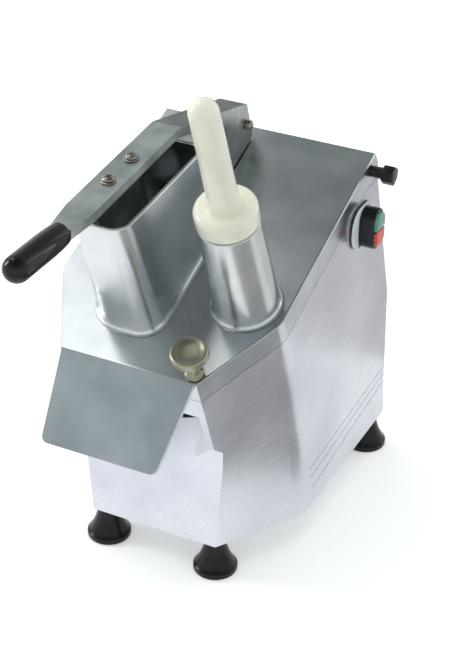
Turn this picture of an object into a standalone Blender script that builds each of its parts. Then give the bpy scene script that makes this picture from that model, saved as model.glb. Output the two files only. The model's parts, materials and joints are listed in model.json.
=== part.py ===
"""A bench-top vegetable cutting machine, modelled as its separate pieces.

A sloping cast lid carries a D-shaped feed hopper, a round feed tube and a discharge hood. A hand lever
with a D-shaped pusher swings over the hopper. Under the lid a slicing disc and an ejector disc turn in a
bowl that is cast into the base, and a belt motor drives them. All sizes are in metres and +Z is up.

Two frames place everything. The machine frame has X to the right, Y to the rear, Z up, with x = 0 on the
middle plane, y = 0 on the front plate and z = 0 on the bench. The lid frame is that frame tilted by the
slope of the lid: x across, s up along the lid from its front edge, n square to the lid and up from it.
"""

from math import acos, asin, atan2, cos, pi, radians, sin, sqrt, tan

import bmesh
import bpy
from mathutils import Matrix, Vector

# Clearances
GAP = 0.0003
RUN_GAP = 0.0003

# Lid
LID_SLOPE = radians(21.4)
LID_FRONT_Y = -0.0439
LID_FRONT_Z = 0.2451
LID_FRONT_HALF = 0.0686
LID_HALF = 0.112
LID_BEND_S = 0.085
LID_BEND_RADIUS = 0.026
LID_SKIRT = 0.024
LID_PLATE = 0.005
LID_WALL = 0.004
LID_REAR_S = 0.305
LID_REAR_EDGE = 0.0025
LID_EDGE = 0.0022
RIM_GAP = 0.0005

# Hood in front of the lid
HOOD_LENGTH = 0.085
HOOD_DROP = radians(48.7)
HOOD_TIP_HALF = 0.057
HOOD_PLATE = 0.0045
HOOD_CORNER = 0.007

# Hinge of the lid
HINGE_S = 0.294
HINGE_DEPTH = 0.015
HINGE_RADIUS = 0.0135
HINGE_ROD_RADIUS = 0.004
HINGE_LUG_RADIUS = 0.009
HINGE_LUG_INSET = 0.018
HINGE_LUG_WIDTH = 0.010
HINGE_NECK_RADIUS = 0.0058
HINGE_NECK_LENGTH = 0.0105
HINGE_HEAD_RADIUS = 0.0095
HINGE_HEAD_LENGTH = 0.0115

# Base casting
BASE_BOTTOM_Z = 0.0369
BASE_FRONT_HALF = 0.066
BASE_FLARE = 0.007
BASE_BEND_Y = 0.0826
BASE_BEND_RADIUS = 0.036
BASE_REAR_Y = 0.287
BASE_REAR_KNEE_Z = 0.182
BASE_FRONT_TOP_Z = 0.148
BASE_WALL = 0.004
SHOULDER_STEP = 0.0015
SHOULDER_BEND_RADIUS = 0.060
DECK = 0.005
HINGE_BEAM_S = 0.262
HINGE_BEAM_DEPTH = 0.040
GROOVE_WIDTH = 0.0030
GROOVE_DEPTH = 0.0012
GROOVES = (((0.097, 0.081), 0.094), ((0.100, 0.070), 0.0855), ((0.106, 0.056), 0.077))

# Cutting bowl and discharge chute
BOWL_MARGIN = 0.006
BOWL_FRONT_S = 0.0075
BOWL_DEPTH = 0.0925
BOWL_FLOOR = 0.0045
CHUTE_HALF = 0.062
CHUTE_HEAD = 0.050
CHUTE_LIP_Z = 0.120
CHUTE_LIP_RADIUS = 0.078
CHUTE_SLOPE = radians(60)
CHUTE_TOP_Y = 0.0317

# Slicing disc set
DISC_CLEARANCE = 0.0035
DISC_TOP = 0.017
DISC_PLATE = 0.004
DISC_HUB_RADIUS = 0.022
DISC_HUB_BOTTOM = 0.045
BLADES = 3
BLADE_INNER = 0.032
BLADE_MARGIN = 0.0085
BLADE_SHEET = 0.0015
BLADE_HEEL = 0.014
BLADE_REACH = 0.030
BLADE_LIFT = 0.0018
WINDOW_WIDTH = 0.020
NUT_RADIUS = 0.0126
NUT_HEIGHT = 0.0045
EJECTOR_CLEARANCE = 0.006
EJECTOR_LIFT = 0.0025
EJECTOR_PLATE = 0.0025
EJECTOR_HUB_RADIUS = 0.018
PADDLE_HEIGHT = 0.012
PADDLE_WIDTH = 0.008
PIN_RADIUS = 0.0025
PIN_LIFT = 0.0125

# Spindle, bearings and belt drive
SPINDLE_RADIUS = 0.010
SPINDLE_NOSE_RADIUS = 0.009
SPINDLE_STUD_RADIUS = 0.005
SEAL_RADIUS = 0.020
BEARING_RADIUS = 0.021
BEARING_WIDTH = 0.012
BEARING_TUBE_RADIUS = 0.0255
BEARING_FLANGE_RADIUS = 0.0335
BEARING_FLANGE = 0.006
BEARING_TUBE_LENGTH = 0.099
BEARING_SET_BACK = 0.009
BEARING_END = 0.003
PULLEY_CLEARANCE = 0.005
PULLEY_WIDTH = 0.012
PULLEY_FLANGE = 0.0016
DRIVEN_PULLEY_RADIUS = 0.056
MOTOR_PULLEY_RADIUS = 0.012
FLANGE_RISE = 0.004
BELT_THICKNESS = 0.003
MOTOR_SPAN = 0.0865
MOTOR_RADIUS = 0.052
MOTOR_CLEARANCE = 0.004
MOTOR_PLATE = 0.004
MOTOR_SHAFT_RADIUS = 0.006

# Feed hopper, a long D with its flat side to the right
HOPPER_LEFT = 0.062
HOPPER_RIGHT = 0.010
HOPPER_FRONT_S = 0.035
HOPPER_REAR_S = 0.191
HOPPER_ROUND = 0.038
HOPPER_CORNER = 0.020
HOPPER_WALL = 0.0035
HOPPER_DRAFT = tan(radians(1.9))
HOPPER_RIM_FRONT = 0.1275
HOPPER_RIM_S = 0.0584
HOPPER_RIM_FALL = tan(radians(15.1))
COLLAR_DEPTH = 0.013
FILLET = 0.005

# Feed tube with its hand pusher
TUBE_INSET = 0.0397
TUBE_S = 0.0975
TUBE_RADIUS = 0.0300
TUBE_TOP_RADIUS = 0.0276
TUBE_HEIGHT = 0.1075
TUBE_BORE = 0.0245
FLANGE_RADIUS = 0.0275
FLANGE_HEIGHT = 0.0205
FLANGE_ROUND = 0.006
STICK_RADIUS = 0.0145
STICK_TOP_RADIUS = 0.0135
STICK_TOP = 0.2475
PLUNGER_BOTTOM = 0.002

# Hand lever with its D-shaped pusher
LEVER_X = -0.024
LEVER_WIDTH = 0.028
LEVER_TIP_WIDTH = 0.020
LEVER_TAPER = 0.040
LEVER_FRONT_Y = -0.104
LEVER_FRONT_Z = 0.404
LEVER_KNEE_Y = 0.077
LEVER_KNEE_Z = 0.422
LEVER_DEPTH = 0.0088
LEVER_REAR_S = 0.292
LEVER_REAR_N = 0.0434
LEVER_BLOCK_S = 0.232
LEVER_BLOCK_GAP = 0.002
LEVER_FOOT_S = 0.291
PIVOT_S = 0.2835
PIVOT_N = 0.024
PIVOT_RADIUS = 0.004
LUG_WIDTH = 0.014
LUG_RADIUS = 0.008
FORK_GAP = 0.0005
PIVOT_HEAD_RADIUS = 0.0048
GRIP_TIP_Y = -0.1815
GRIP_RADIUS = 0.0119
GRIP_Z = 0.3985
GRIP_TAPER = 0.026
TANG_LENGTH = 0.045
PUSHER_SET_BACK = 0.024
PUSHER_GAP = 0.0055
PUSHER_PLATE = 0.007
PUSHER_BOTTOM = 0.009
WEB_THICKNESS = 0.006
WEB_FRONT_Y = -0.050
WEB_REAR_Y = 0.020
WEB_FOOT_FRONT_S = 0.062
WEB_FOOT_REAR_S = 0.120
WEB_FLANGE_WIDTH = 0.018
WEB_FLANGE = 0.0035
LEVER_SCREW_Y = (-0.026, 0.0136)
LEVER_SCREW_RADIUS = 0.0055
WASHER_RADIUS = 0.0072
WASHER = 0.0010
SCREW_SHANK = 0.0025
SCREW_HEAD = 0.0032

# Front latch knob
LATCH_X = 0.0625
LATCH_S = 0.010
LATCH_KNOB_RADIUS = 0.017
LATCH_KNOB_BOTTOM = 0.0245
LATCH_KNOB_TOP = 0.0335
LATCH_NECK_RADIUS = 0.0068
LATCH_STEM_RADIUS = 0.003
LATCH_BAR_LENGTH = 0.010
LATCH_BAR_WIDTH = 0.0045
LATCH_BAR_TOP = 0.0315
LATCH_BAR_HEIGHT = 0.004
LATCH_POCKET = 0.0063

# Feet
FOOT_RADIUS = 0.0215
FOOT_NECK_RADIUS = 0.0105
FOOT_STUD_RADIUS = 0.004
FOOT_STUD_TOP_Z = 0.052
FRONT_FOOT_X = 0.0585
FRONT_FOOT_Y = 0.0155
REAR_FOOT_INSET = 0.014
REAR_FOOT_Y = 0.276
BOSS_RADIUS = 0.012
PLATE_SHEET = 0.0015

# Switch on the right wall
SWITCH_Y = 0.2107
SWITCH_Z = 0.293
SWITCH_WIDTH = 0.026
SWITCH_HEIGHT = 0.041
SWITCH_DEPTH = 0.0145
SWITCH_CORNER = 0.0125
SWITCH_BODY_WIDTH = 0.021
SWITCH_BODY_HEIGHT = 0.026
SWITCH_BODY_DROP = 0.0065
SWITCH_BODY_DEPTH = 0.026
GASKET_WIDTH = 0.052
GASKET_HEIGHT = 0.043
GASKET_CORNER = 0.019
GASKET = 0.002
BUTTON_WIDTH = 0.0205
BUTTON_HEIGHT = 0.0165
BUTTON_ROUND = 0.0088
BUTTON_PROUD = 0.0035
BUTTON_TRAVEL = 0.003
BUTTON_PITCH = 0.0178
BUTTON_WELL = 0.008

# Electrical pieces inside the base
CAPACITOR_INSET = 0.033
CAPACITOR_Y = 0.190
CAPACITOR_RADIUS = 0.0175
CAPACITOR_HEIGHT = 0.070
CLIP_HEIGHT = 0.012
CLIP_TOP = 0.038
CLIP_SHEET = 0.0015
CLIP_LEG = 0.012
BOARD_INSET = 0.036
BOARD_Y = 0.165
BOARD_WIDTH = 0.046
BOARD_LENGTH = 0.080
BOARD_STAND = 0.008
BOARD_SHEET = 0.002
RELAY_WIDTH = 0.020
RELAY_LENGTH = 0.030
RELAY_HEIGHT = 0.016
SAFETY_X = -0.070
SAFETY_S = 0.240
PLUNGER_PIN_RADIUS = 0.0035
GLAND_X = -0.070
GLAND_Z = 0.075
GLAND_RADIUS = 0.0070
GLAND_NUT_RADIUS = 0.0100
GLAND_LENGTH = 0.0075

# Facet counts
FINE = 40
MEDIUM = 20
SMALL = 10

# Derived places
HINGE_N = -HINGE_DEPTH
HINGE_LUG_X = LID_HALF - HINGE_LUG_INSET
RIM_N = -(LID_SKIRT + RIM_GAP)
BASE_HALF = LID_HALF + BASE_FLARE
SHOULDER_HALF = LID_HALF + SHOULDER_STEP
SHOULDER_DEPTH = BOWL_DEPTH + BOWL_FLOOR
BOWL_RADIUS = LID_HALF - BOWL_MARGIN
DRUM_RADIUS = BOWL_RADIUS + BASE_WALL
DISC_S = BOWL_RADIUS + BOWL_FRONT_S
DISC_RADIUS = BOWL_RADIUS - DISC_CLEARANCE
BLADE_OUTER = DISC_RADIUS - BLADE_MARGIN
EJECTOR_RADIUS = BOWL_RADIUS - EJECTOR_CLEARANCE
UPPER_BEARING_TOP = SHOULDER_DEPTH + BEARING_SET_BACK
BEARING_TUBE_BOTTOM = SHOULDER_DEPTH + BEARING_TUBE_LENGTH
LOWER_BEARING_TOP = BEARING_TUBE_BOTTOM - BEARING_WIDTH - BEARING_END
PULLEY_TOP = BEARING_TUBE_BOTTOM + PULLEY_CLEARANCE
MOTOR_BOTTOM = PULLEY_TOP - MOTOR_CLEARANCE
MOTOR_S = DISC_S + MOTOR_SPAN
TUBE_X = LID_HALF - TUBE_INSET
REAR_FOOT_X = BASE_HALF - REAR_FOOT_INSET
CAPACITOR_X = -(BASE_HALF - CAPACITOR_INSET)
BOARD_X = BASE_HALF - BOARD_INSET
WALL_OUT_X = SHOULDER_HALF + GAP
KNOB_END_X = LID_HALF + 0.0005 + HINGE_NECK_LENGTH + HINGE_HEAD_LENGTH
FOOT_OUT_X = REAR_FOOT_X + FOOT_RADIUS
REAR_END_Y = max(REAR_FOOT_Y + FOOT_RADIUS, BASE_REAR_Y + GAP + GLAND_LENGTH)
CENTRE_X = (KNOB_END_X - FOOT_OUT_X) / 2
CENTRE_Y = (REAR_END_Y + GRIP_TIP_Y) / 2

MACHINE = Matrix.Identity(4)
LID = Matrix.Translation((0, LID_FRONT_Y, LID_FRONT_Z)) @ Matrix.Rotation(LID_SLOPE, 4, "X")
ACROSS = Matrix(((0, 0, 1, 0), (1, 0, 0, 0), (0, 1, 0, 0), (0, 0, 0, 1)))
SIDE = MACHINE @ ACROSS
LID_SIDE = LID @ ACROSS
LID_N = (LID.to_3x3() @ Vector((0, 0, 1))).normalized()


def clear_scene():
    """Remove what a new file holds, so that only the machine is left."""
    for thing in list(bpy.data.objects):
        bpy.data.objects.remove(thing, do_unlink=True)


def material(name, colour, roughness, metallic):
    """A plain finish: colour as linear RGB."""
    made = bpy.data.materials.new(name)
    made.use_nodes = True
    shader = made.node_tree.nodes["Principled BSDF"]
    shader.inputs["Base Color"].default_value = (*colour, 1)
    shader.inputs["Roughness"].default_value = roughness
    shader.inputs["Metallic"].default_value = metallic
    made.diffuse_color = (*colour, 1)
    return made


def solid(vertices, faces):
    """A closed mesh object, with its faces turned outwards."""
    mesh = bpy.data.meshes.new("solid")
    work = bmesh.new()
    points = [work.verts.new(v) for v in vertices]
    for face in faces:
        work.faces.new([points[i] for i in face])
    bmesh.ops.recalc_face_normals(work, faces=work.faces)
    bmesh.ops.triangulate(work, faces=work.faces)
    work.to_mesh(mesh)
    work.free()
    made = bpy.data.objects.new("solid", mesh)
    bpy.context.scene.collection.objects.link(made)
    return made


def loft(rings):
    """A solid through rings of equally many points, closed by its first and last ring."""
    count = len(rings[0])
    vertices = [point for ring in rings for point in ring]
    faces = [list(range(count))[::-1], [(len(rings) - 1) * count + i for i in range(count)]]
    for level in range(len(rings) - 1):
        for i in range(count):
            j = (i + 1) % count
            low, high = level * count, (level + 1) * count
            faces.append([low + i, low + j, high + j, high + i])
    return solid(vertices, faces)


def prism(outline, low, high, frame):
    """An outline in the frame's own X and Y, from low to high along its Z."""
    return loft([[frame @ Vector((u, v, level)) for u, v in outline] for level in (low, high)])


def turned(profile, frame, segments):
    """A profile of (radius, height) points turned about the frame's Z.

    A closed ring has no point at radius 0.
    """
    vertices, rows = [], []
    for radius, height in profile:
        count = 1 if radius == 0 else segments
        rows.append([len(vertices) + i for i in range(count)])
        for i in range(count):
            angle = 2 * pi * i / segments
            vertices.append(frame @ Vector((radius * cos(angle), radius * sin(angle), height)))
    pairs = list(zip(rows, rows[1:]))
    if len(rows[0]) > 1:
        pairs.append((rows[-1], rows[0]))
    faces = []
    for low, high in pairs:
        for i in range(segments):
            j = (i + 1) % segments
            quad = [low[i % len(low)], low[j % len(low)], high[j % len(high)], high[i % len(high)]]
            face = list(dict.fromkeys(quad))
            if len(face) > 2:
                faces.append(face)
    return solid(vertices, faces)


def cylinder(radius, low, high, frame, segments=MEDIUM):
    return turned([(0, low), (radius, low), (radius, high), (0, high)], frame, segments)


def ring(inner, outer, low, high, frame, segments=MEDIUM):
    return turned([(inner, low), (outer, low), (outer, high), (inner, high)], frame, segments)


def box(low, high, frame=MACHINE):
    outline = ((low[0], low[1]), (high[0], low[1]), (high[0], high[1]), (low[0], high[1]))
    return prism(outline, low[2], high[2], frame)


def is_whole(mesh):
    """True where a mesh has faces and no open edge."""
    work = bmesh.new()
    work.from_mesh(mesh)
    closed = len(work.faces) > 0 and all(len(edge.link_faces) == 2 for edge in work.edges)
    work.free()
    return closed


def combine(target, tool, operation):
    """Apply one boolean to the target and remove the tool.

    The exact solver goes first. Where it fails on a casting, whose lofted faces meet at very small angles,
    the manifold solver takes its place.
    """
    modifier = target.modifiers.new("boolean", "BOOLEAN")
    modifier.operation = operation
    modifier.object = tool
    for solver in ("EXACT", "MANIFOLD"):
        modifier.solver = solver
        graph = bpy.context.evaluated_depsgraph_get()
        made = bpy.data.meshes.new_from_object(target.evaluated_get(graph))
        if is_whole(made):
            break
    target.modifiers.clear()
    target.data = made
    bpy.data.objects.remove(tool, do_unlink=True)
    return target


def join(target, *tools):
    for tool in tools:
        combine(target, tool, "UNION")
    return target


def cut(target, *tools):
    for tool in tools:
        combine(target, tool, "DIFFERENCE")
    return target


def keep(target, tool):
    return combine(target, tool, "INTERSECT")


def at(frame, x, y, z):
    """The frame moved to a point of its own."""
    return frame @ Matrix.Translation((x, y, z))


def along_x(frame, x, s, n):
    """A frame whose Z runs along +X through a point."""
    return at(frame, x, s, n) @ Matrix.Rotation(pi / 2, 4, "Y")


def finish(thing, name, finish_material, root, origin=None):
    """Name a piece, put its origin on its joint's axis and shade it smooth between its sharp edges."""
    thing.name = name
    thing.data.name = name
    thing.data.materials.clear()
    thing.data.materials.append(finish_material)
    if origin is not None:
        thing.data.transform(Matrix.Translation(-origin))
        thing.location = origin
    thing.parent = root
    thing.data.shade_smooth()
    thing.data.set_sharp_from_angle(angle=radians(32))
    return thing


def rounded(corners, radii, steps=6):
    """A closed outline with each corner replaced by an arc of its own radius."""
    outline = []
    count = len(corners)
    for i, (corner, radius) in enumerate(zip(corners, radii)):
        here = Vector(corner)
        back = (Vector(corners[i - 1]) - here).normalized()
        ahead = (Vector(corners[(i + 1) % count]) - here).normalized()
        if radius == 0:
            outline.append(here)
            continue
        half = acos(max(-1, min(1, back.dot(ahead)))) / 2
        centre = here + (back + ahead).normalized() * (radius / sin(half))
        start = here + back * (radius / tan(half)) - centre
        end = here + ahead * (radius / tan(half)) - centre
        first = atan2(start.y, start.x)
        turn = (atan2(end.y, end.x) - first + pi) % (2 * pi) - pi
        for k in range(steps + 1):
            angle = first + turn * k / steps
            outline.append(centre + radius * Vector((cos(angle), sin(angle))))
    return [tuple(point) for point in outline]


def rectangle(width, height, radius, centre=(0, 0)):
    x, y = centre
    corners = [(x + i * width / 2, y + j * height / 2) for i, j in ((-1, -1), (1, -1), (1, 1), (-1, 1))]
    return rounded(corners, [radius] * 4)


def flared_outline(front_half, front, half, bend, rear, radius, inset=0.0, forward=0.0):
    """The plan of lid and base: narrow at the front, flaring to a bend, then parallel to the rear.

    Inset moves every side inwards, and forward lengthens the flare beyond its front edge.
    """
    run, rise = half - front_half, bend - front
    length = sqrt(run * run + rise * rise)
    shift = inset * length / rise
    front_x = front_half - shift + (inset - forward) * run / rise
    bend_y = bend + (shift - inset) * rise / run
    corners = [
        (-front_x, front + inset - forward),
        (front_x, front + inset - forward),
        (half - inset, bend_y),
        (half - inset, rear - inset),
        (-(half - inset), rear - inset),
        (-(half - inset), bend_y),
    ]
    turn = radius - inset
    return rounded(corners, [0, 0, turn, 0, 0, turn], 8)


def lid_outline(inset=0.0, rear=LID_REAR_S, forward=0.0):
    return flared_outline(LID_FRONT_HALF, 0, LID_HALF, LID_BEND_S, rear, LID_BEND_RADIUS, inset, forward)


def arc(centre, radius, first, last, steps):
    """Points of an arc from the first to the last angle, in degrees."""
    angles = [radians(first + (last - first) * k / steps) for k in range(steps + 1)]
    return [(centre[0] + radius * cos(a), centre[1] + radius * sin(a)) for a in angles]


def lid_to_side(s, n):
    """A point of the lid's side view in the machine's (y, z)."""
    point = LID @ Vector((0, s, n))
    return point.y, point.z


def base_outer():
    """The outside of the base casting: a loft through three plans, cut to the side view."""
    forward = 0.012
    reach = BASE_REAR_Y + 0.060
    plans = (
        (MACHINE, BASE_BOTTOM_Z, BASE_FRONT_HALF, 0, BASE_HALF, BASE_BEND_Y, BASE_BEND_RADIUS),
        (LID, -SHOULDER_DEPTH, LID_FRONT_HALF, 0, SHOULDER_HALF, LID_BEND_S, SHOULDER_BEND_RADIUS),
        (LID, RIM_N, LID_FRONT_HALF, 0, LID_HALF, LID_BEND_S, LID_BEND_RADIUS),
    )
    return plans, forward, reach


def base_loft(inset, drop):
    """The plan loft of the base, with its walls moved inwards by inset and its bottom lowered by drop."""
    plans, forward, reach = base_outer()
    rings = []
    for frame, level, front_half, front, half, bend, radius in plans:
        outline = flared_outline(front_half, front, half, bend, reach, radius, inset, forward + inset)
        height = level - drop if frame is MACHINE else level
        rings.append([frame @ Vector((u, v, height)) for u, v in outline])
    rings.append([p + LID_N * 0.02 for p in rings[-1]])
    return loft(rings)


def side_view(inset, drop):
    """The side view of the base in (y, z)."""
    rim = RIM_N - (DECK if inset else 0)
    rear_top = lid_to_side(HINGE_S + sqrt(HINGE_RADIUS**2 - (RIM_N - HINGE_N) ** 2), RIM_N)
    knee = (BASE_REAR_Y - inset, BASE_REAR_KNEE_Z)
    points = [(inset, BASE_BOTTOM_Z - drop), (inset, BASE_FRONT_TOP_Z)]
    points += [lid_to_side(inset, -SHOULDER_DEPTH), lid_to_side(inset, rim)]
    if inset:
        beam = lid_to_side(HINGE_BEAM_S, -HINGE_BEAM_DEPTH)
        rear = Vector(knee) + (Vector(rear_top) - Vector((BASE_REAR_Y, BASE_REAR_KNEE_Z))) * 0.70
        points += [lid_to_side(HINGE_BEAM_S - 0.006, rim), beam, tuple(rear)]
    else:
        points.append(rear_top)
    return points + [knee, (BASE_REAR_Y - inset, BASE_BOTTOM_Z - drop)]


def chute_channel(grow):
    """The discharge chute: a trough carried up a steep slope from the front lip to the bowl.

    A band of the front wall stays above it, as the head of the window through which the slices leave.
    """
    half = CHUTE_HALF + grow
    radius = CHUTE_LIP_RADIUS + grow
    span = asin(half / radius)
    steps = 10
    lip = [(radius * sin(a), CHUTE_LIP_Z + CHUTE_LIP_RADIUS - radius * cos(a))
           for a in (span * (2 * k / steps - 1) for k in range(steps + 1))]
    top = 0.20
    section = lip + [(half, CHUTE_LIP_Z + top), (-half, CHUTE_LIP_Z + top)]
    rings = []
    for y in (-0.060, CHUTE_TOP_Y):
        rise = y * tan(CHUTE_SLOPE)
        rings.append([Vector((u, y, v + rise)) for u, v in section])
    return keep(loft(rings), box((-0.1, -0.1, -0.3), (0.1, 0.1, grow - CHUTE_HEAD), LID))


def groove(side, start, end_z):
    """One long shallow groove low on a side wall, cut as a thin bar that leans with the wall."""
    y, z = start
    lean = (BASE_HALF - SHOULDER_HALF) / (lid_to_side(DISC_S, -SHOULDER_DEPTH)[1] - BASE_BOTTOM_Z)
    rings = []
    for place_y, place_z in ((y, z), (BASE_REAR_Y + 0.01, end_z)):
        wall = BASE_HALF - (place_z - BASE_BOTTOM_Z) * lean
        points = ((wall - GROOVE_DEPTH, 0), (wall + 0.004, -GROOVE_WIDTH), (wall + 0.004, GROOVE_WIDTH))
        rings.append([Vector((side * x, place_y, place_z + dz)) for x, dz in points])
    return loft(rings)


def base_casting():
    """The one-piece casting: leaning walls, a deck, the cutting bowl with its chute and the hinge lugs."""
    cavity = keep(base_loft(BASE_WALL, 0.01), prism(side_view(BASE_WALL, 0.01), -0.2, 0.2, SIDE))
    axis = at(LID, 0, DISC_S, 0)
    cut(cavity, cylinder(DRUM_RADIUS, -SHOULDER_DEPTH, 0.01, axis, FINE), chute_channel(BASE_WALL))
    cut(cavity, box((LATCH_X - 0.012, -0.01, -0.042), (LID_HALF + 0.01, LATCH_S + 0.012, 0.01), LID))
    for x, y in foot_places():
        frame = at(MACHINE, x, y, 0)
        cut(cavity, cylinder(BOSS_RADIUS, plate_top() + GAP, FOOT_STUD_TOP_Z + 0.012, frame))
    body = keep(base_loft(0, 0), prism(side_view(0, 0), -0.2, 0.2, SIDE))
    cut(body, cavity, cylinder(BOWL_RADIUS, -BOWL_DEPTH, 0.05, axis, FINE), chute_channel(0))
    cut(body, cylinder(SEAL_RADIUS, -SHOULDER_DEPTH - 0.02, -BOWL_DEPTH + 0.02, axis))
    hinge = along_x(LID, 0, HINGE_S, HINGE_N)
    cut(body, cylinder(HINGE_RADIUS + RIM_GAP, -0.2, 0.2, hinge, FINE))
    for x, y in foot_places():
        cut(body, cylinder(FOOT_STUD_RADIUS + GAP, 0, FOOT_STUD_TOP_Z + 0.002, at(MACHINE, x, y, 0), SMALL))
    for side in (-1, 1):
        for start, end_z in GROOVES:
            cut(body, groove(side, start, end_z))
        low, high = sorted((side * HINGE_LUG_X, side * (HINGE_LUG_X + HINGE_LUG_WIDTH)))
        root = RIM_N - DECK - 0.008
        lug = arc((HINGE_S, HINGE_N), HINGE_LUG_RADIUS, 0, 180, 14)
        lug += [(HINGE_S - 0.014, root), (HINGE_S + 0.006, root)]
        join(body, prism(lug, low, high, LID_SIDE))
    cut(body, cylinder(HINGE_ROD_RADIUS + RUN_GAP, -0.2, 0.2, hinge, SMALL))
    latch = at(LID, LATCH_X, LATCH_S, 0)
    slot = LATCH_BAR_WIDTH / 2 + 0.001
    reach = LATCH_BAR_LENGTH / 2
    cut(body, box((-slot, -reach - 0.002, -0.040), (slot, reach + 0.001, 0.0), latch))
    cut(body, cylinder(LATCH_POCKET, -0.0385, -LATCH_BAR_TOP + 0.0008, latch, SMALL))
    cut(body, cylinder(PLUNGER_PIN_RADIUS + 0.0005, -0.04, 0, at(LID, SAFETY_X, SAFETY_S, 0), SMALL))
    cut(body, prism(switch_body_outline(2 * GAP), 0.09, 0.13, SIDE))
    cut(body, cylinder(GLAND_RADIUS + GAP, BASE_REAR_Y - 0.02, BASE_REAR_Y + 0.02, gland_frame(), SMALL))
    return body


def gland_frame():
    """Z runs to the rear through the cable inlet."""
    return at(MACHINE, GLAND_X, 0, GLAND_Z) @ Matrix.Rotation(-pi / 2, 4, "X")


def foot_places():
    return [(side * x, y) for x, y in ((FRONT_FOOT_X, FRONT_FOOT_Y), (REAR_FOOT_X, REAR_FOOT_Y))
            for side in (1, -1)]


def base_plate():
    """The steel sheet that closes the base from below, inside its walls."""
    inset = BASE_WALL + 0.0006
    outline = flared_outline(BASE_FRONT_HALF, 0, BASE_HALF, BASE_BEND_Y, BASE_REAR_Y, BASE_BEND_RADIUS, inset)
    low = BASE_BOTTOM_Z + GAP
    plate = prism(outline, low, low + PLATE_SHEET, MACHINE)
    for x, y in foot_places():
        cut(plate, cylinder(FOOT_STUD_RADIUS + GAP, low - 0.01, low + 0.01, at(MACHINE, x, y, 0), SMALL))
    return plate


def foot(x, y):
    """A turned rubber foot: a wide pad, a hollow flank and a threaded stud."""
    top = BASE_BOTTOM_Z - GAP
    flank = [(FOOT_RADIUS - 0.0015, 0), (FOOT_RADIUS, 0.0015), (FOOT_RADIUS, 0.0055)]
    steps = 5
    for k in range(1, steps + 1):
        share = k / steps
        radius = FOOT_RADIUS - 0.001 - (FOOT_RADIUS - 0.001 - FOOT_NECK_RADIUS) * (1 - (1 - share) ** 1.9)
        flank.append((radius, 0.0065 + (top - 0.0065) * share))
    profile = [(0, 0)] + flank + [(FOOT_STUD_RADIUS, top), (FOOT_STUD_RADIUS, FOOT_STUD_TOP_Z),
                                  (0, FOOT_STUD_TOP_Z)]
    return turned(profile, at(MACHINE, x, y, 0), MEDIUM)


def lid_side_view(inset):
    """The lid from the side in (s, n).

    It has a flat top to its rear edge, a round underside about the hinge, and a skirt.
    """
    radius = HINGE_RADIUS - inset
    under = -180 + asin((LID_SKIRT - HINGE_DEPTH) / HINGE_RADIUS) * 180 / pi
    low = -LID_SKIRT - (0.02 if inset else 0)
    if inset:
        points = [(inset, -LID_PLATE), (LID_REAR_S - LID_WALL - 0.002, -LID_PLATE)]
        points += arc((HINGE_S, HINGE_N), radius, 20, under, 14)
        points.append((points[-1][0], low))
    else:
        edge = LID_REAR_EDGE
        points = [(0, 0)] + arc((LID_REAR_S - edge, -edge), edge, 90, 10, 4)
        points += arc((HINGE_S, HINGE_N), radius, 25, under, 16)
    return points + [(inset, low)]


def lid_casting():
    """The sloping lid with its skirt, hinge barrel, hood, bowl ring and lever lug.

    It is built in the lid frame, where its faces are square to the axes, and turned to its slope at the end.
    """
    levels = ((0, LID_EDGE), (-0.3 * LID_EDGE, 0.3 * LID_EDGE), (-LID_EDGE, 0), (-0.04, 0))
    wide = LID_REAR_S + 0.03
    rings = [[Vector((u, v, n)) for u, v in lid_outline(inset, wide)] for n, inset in levels]
    lid = keep(loft(rings), prism(lid_side_view(0), -0.2, 0.2, ACROSS))
    hollow = prism(lid_outline(LID_WALL, wide), -0.05, -LID_PLATE + 0.003, MACHINE)
    cut(lid, keep(hollow, prism(lid_side_view(LID_WALL), -0.2, 0.2, ACROSS)))
    hinge = along_x(MACHINE, 0, HINGE_S, HINGE_N)
    for side in (-1, 1):
        low, high = sorted((side * (HINGE_LUG_X - 0.0015), side * (HINGE_LUG_X + HINGE_LUG_WIDTH + 0.0008)))
        cut(lid, box((low, HINGE_S - 0.020, -0.05), (high, HINGE_S + 0.03, HINGE_N + 0.0105)))
    cut(lid, cylinder(HINGE_ROD_RADIUS + RUN_GAP, -0.2, 0.2, hinge, SMALL))
    axis = at(MACHINE, 0, DISC_S, 0)
    bowl_ring = ring(BOWL_RADIUS, BOWL_RADIUS + 0.0035, -LID_SKIRT + 0.0004, -LID_PLATE + 0.001, axis, FINE)
    join(lid, keep(bowl_ring, prism(lid_outline(0.001), -0.05, 0, MACHINE)))
    join(lid, hood())
    lug = [(PIVOT_S - LUG_RADIUS, -0.002), (PIVOT_S + LUG_RADIUS, -0.002)]
    lug += arc((PIVOT_S, PIVOT_N), LUG_RADIUS, 0, 180, 16)
    join(lid, prism(lug, LEVER_X - LUG_WIDTH / 2, LEVER_X + LUG_WIDTH / 2, ACROSS))
    pivot = along_x(MACHINE, LEVER_X, PIVOT_S, PIVOT_N)
    cut(lid, cylinder(PIVOT_RADIUS + RUN_GAP, -0.05, 0.05, pivot, SMALL))
    join(lid, cylinder(0.0045, -LID_SKIRT, -LID_PLATE + 0.001, at(MACHINE, SAFETY_X, SAFETY_S, 0), SMALL))
    cut(lid, prism(hopper_outline(GAP), -0.05, 0.01, MACHINE))
    cut(lid, cylinder(TUBE_RADIUS + GAP, -0.05, 0.01, at(MACHINE, TUBE_X, TUBE_S, 0), FINE))
    cut(lid, cylinder(LATCH_STEM_RADIUS + RUN_GAP, -0.05, 0.01, at(MACHINE, LATCH_X, LATCH_S, 0), SMALL))
    lid.data.transform(LID)
    return lid


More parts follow.
